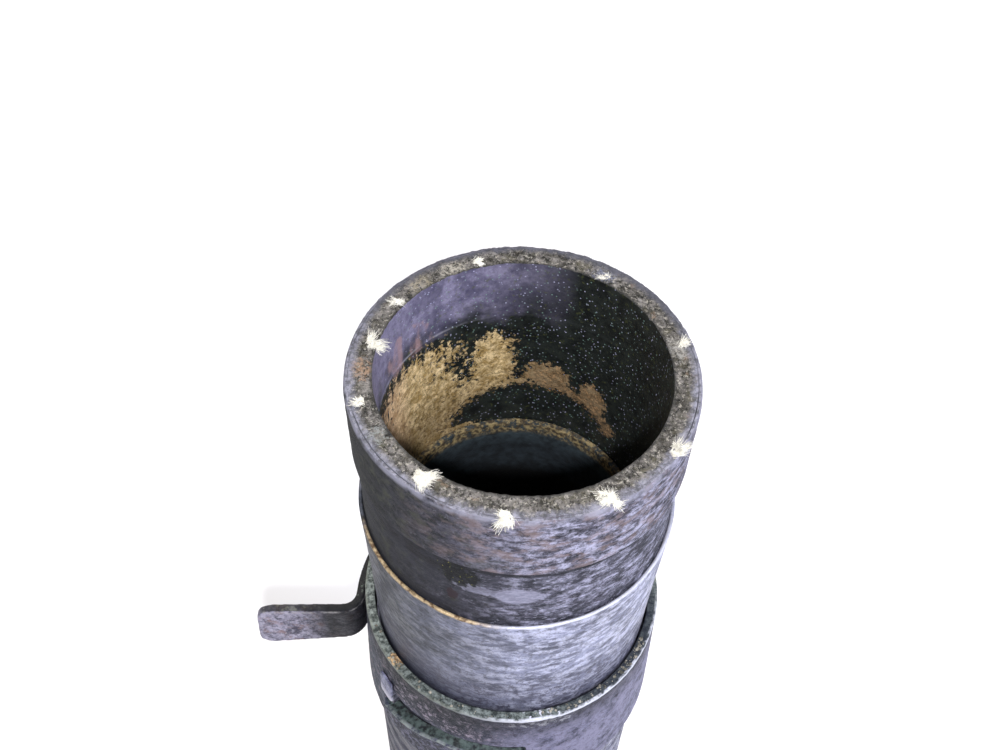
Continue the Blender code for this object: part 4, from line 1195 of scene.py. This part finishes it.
def makeLever():
    # the bar's own solid, closed into one skin and rubbed until its edges are round
    piece = smoothCopy("lever", "leverWorn")
    pickOnly(piece)
    skin = piece.modifiers.new("skin", "REMESH")
    skin.mode = "VOXEL"
    skin.voxel_size = cam["leverGrain"] * mm
    bpy.ops.object.modifier_apply(modifier=skin.name)
    rub = piece.modifiers.new("rub", "SMOOTH")
    rub.factor = 0.5
    rub.iterations = cam["leverRub"]
    bpy.ops.object.modifier_apply(modifier=rub.name)
    swell = piece.modifiers.new("swell", "DISPLACE")
    swell.strength = cam["leverSwell"] * mm
    swell.mid_level = 0
    bpy.ops.object.modifier_apply(modifier=swell.name)
    roughen(piece, cam["pitSize"], cam["leverPits"])
    pickOnly(piece)
    bpy.ops.object.shade_smooth()
    return piece


def makeLugHead():
    # a thin head on the front lug, outside the bell's wall, rounded at its corners and edges
    head = cam["head"]
    width, tall = head["span"] * perDegree, head["top"] - head["foot"]
    dropSelection()
    bpy.ops.mesh.primitive_cube_add(size=1)
    piece = bpy.context.object
    piece.name = piece.data.name = "frontLugHead"
    bpy.ops.object.mode_set(mode="EDIT")
    bpy.ops.mesh.select_all(action="SELECT")
    bpy.ops.transform.resize(value=(width * mm, tall * mm, head["thick"] * mm), center_override=(0, 0, 0))
    bpy.ops.mesh.select_mode(type="EDGE")
    bpy.ops.mesh.select_all(action="DESELECT")
    shape = bmesh.from_edit_mesh(piece.data)
    for edge in shape.edges:
        first, last = edge.verts
        edge.select = abs(first.co.z - last.co.z) > 0.5 * mm
    bmesh.update_edit_mesh(piece.data)
    bpy.ops.mesh.bevel(affect="EDGES", offset=head["corner"] * mm, segments=6, profile=0.5)
    bpy.ops.object.mode_set(mode="OBJECT")
    edges = piece.modifiers.new("edges", "BEVEL")
    edges.width = head["edge"] * mm
    edges.segments = 3
    edges.limit_method = "ANGLE"
    bpy.ops.object.modifier_apply(modifier=edges.name)
    bpy.ops.object.mode_set(mode="EDIT")
    for axis, count, long in zip((0, 1), head["cuts"], (width, tall)):
        for i in range(1, count):
            spot, way = [0, 0, 0], [0, 0, 0]
            spot[axis], way[axis] = (i / count - 0.5) * long * mm, 1
            bpy.ops.mesh.select_all(action="SELECT")
            bpy.ops.mesh.bisect(plane_co=spot, plane_no=way)
    bpy.ops.object.mode_set(mode="OBJECT")

    def wrap(co):
        turn = radians(head["start"] + (co.x / mm + width / 2) / perDegree)
        height = co.y / mm + tall / 2 + head["foot"]
        out = (bellRadius(height) + head["gap"] + head["thick"] / 2) * mm + co.z
        return Vector((out * cos(turn), out * sin(turn), height * mm))
    reshape(piece, wrap)
    finishShape(piece, 40)
    roughen(piece, cam["pitSize"], head["pits"])
    return piece


def makeCamParts():
    parts = [  # piece, node it stands for, material, slot
        (makeLever(), "lever", "lever", "lever_steel"),
        (smoothCopy("front_lug", "frontLugWorn", cam["lugEdge"], 3, 30), "front_lug", "ring", "ring_steel"),
        (smoothCopy("rear_lug", "rearLugWorn", cam["lugEdge"], 3, 30), "rear_lug", "ring", "ring_steel"),
        (makeLugHead(), None, "lug", "ring_steel"),
    ]
    for piece, node, shade, slotName in parts:
        piece.data.materials.clear()
        piece.data.materials.append(metalShades[shade])
        if node:
            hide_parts(node)
        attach(piece, "cam")


makeCamParts()
print("lever and lugs made")


# CAD nodes that stay

staying = {"adapter": "adapter", "gasket": "seal", "retaining_ring": "ring", "cam_ring": "ring",
           "lever_foot": "ring", "lever_screw_1": "screw", "lever_screw_2": "screw"}
for node, shade in staying.items():
    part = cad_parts[node]
    part.data.materials.clear()
    part.data.materials.append(metalShades[shade])
print("inner parts have their materials")
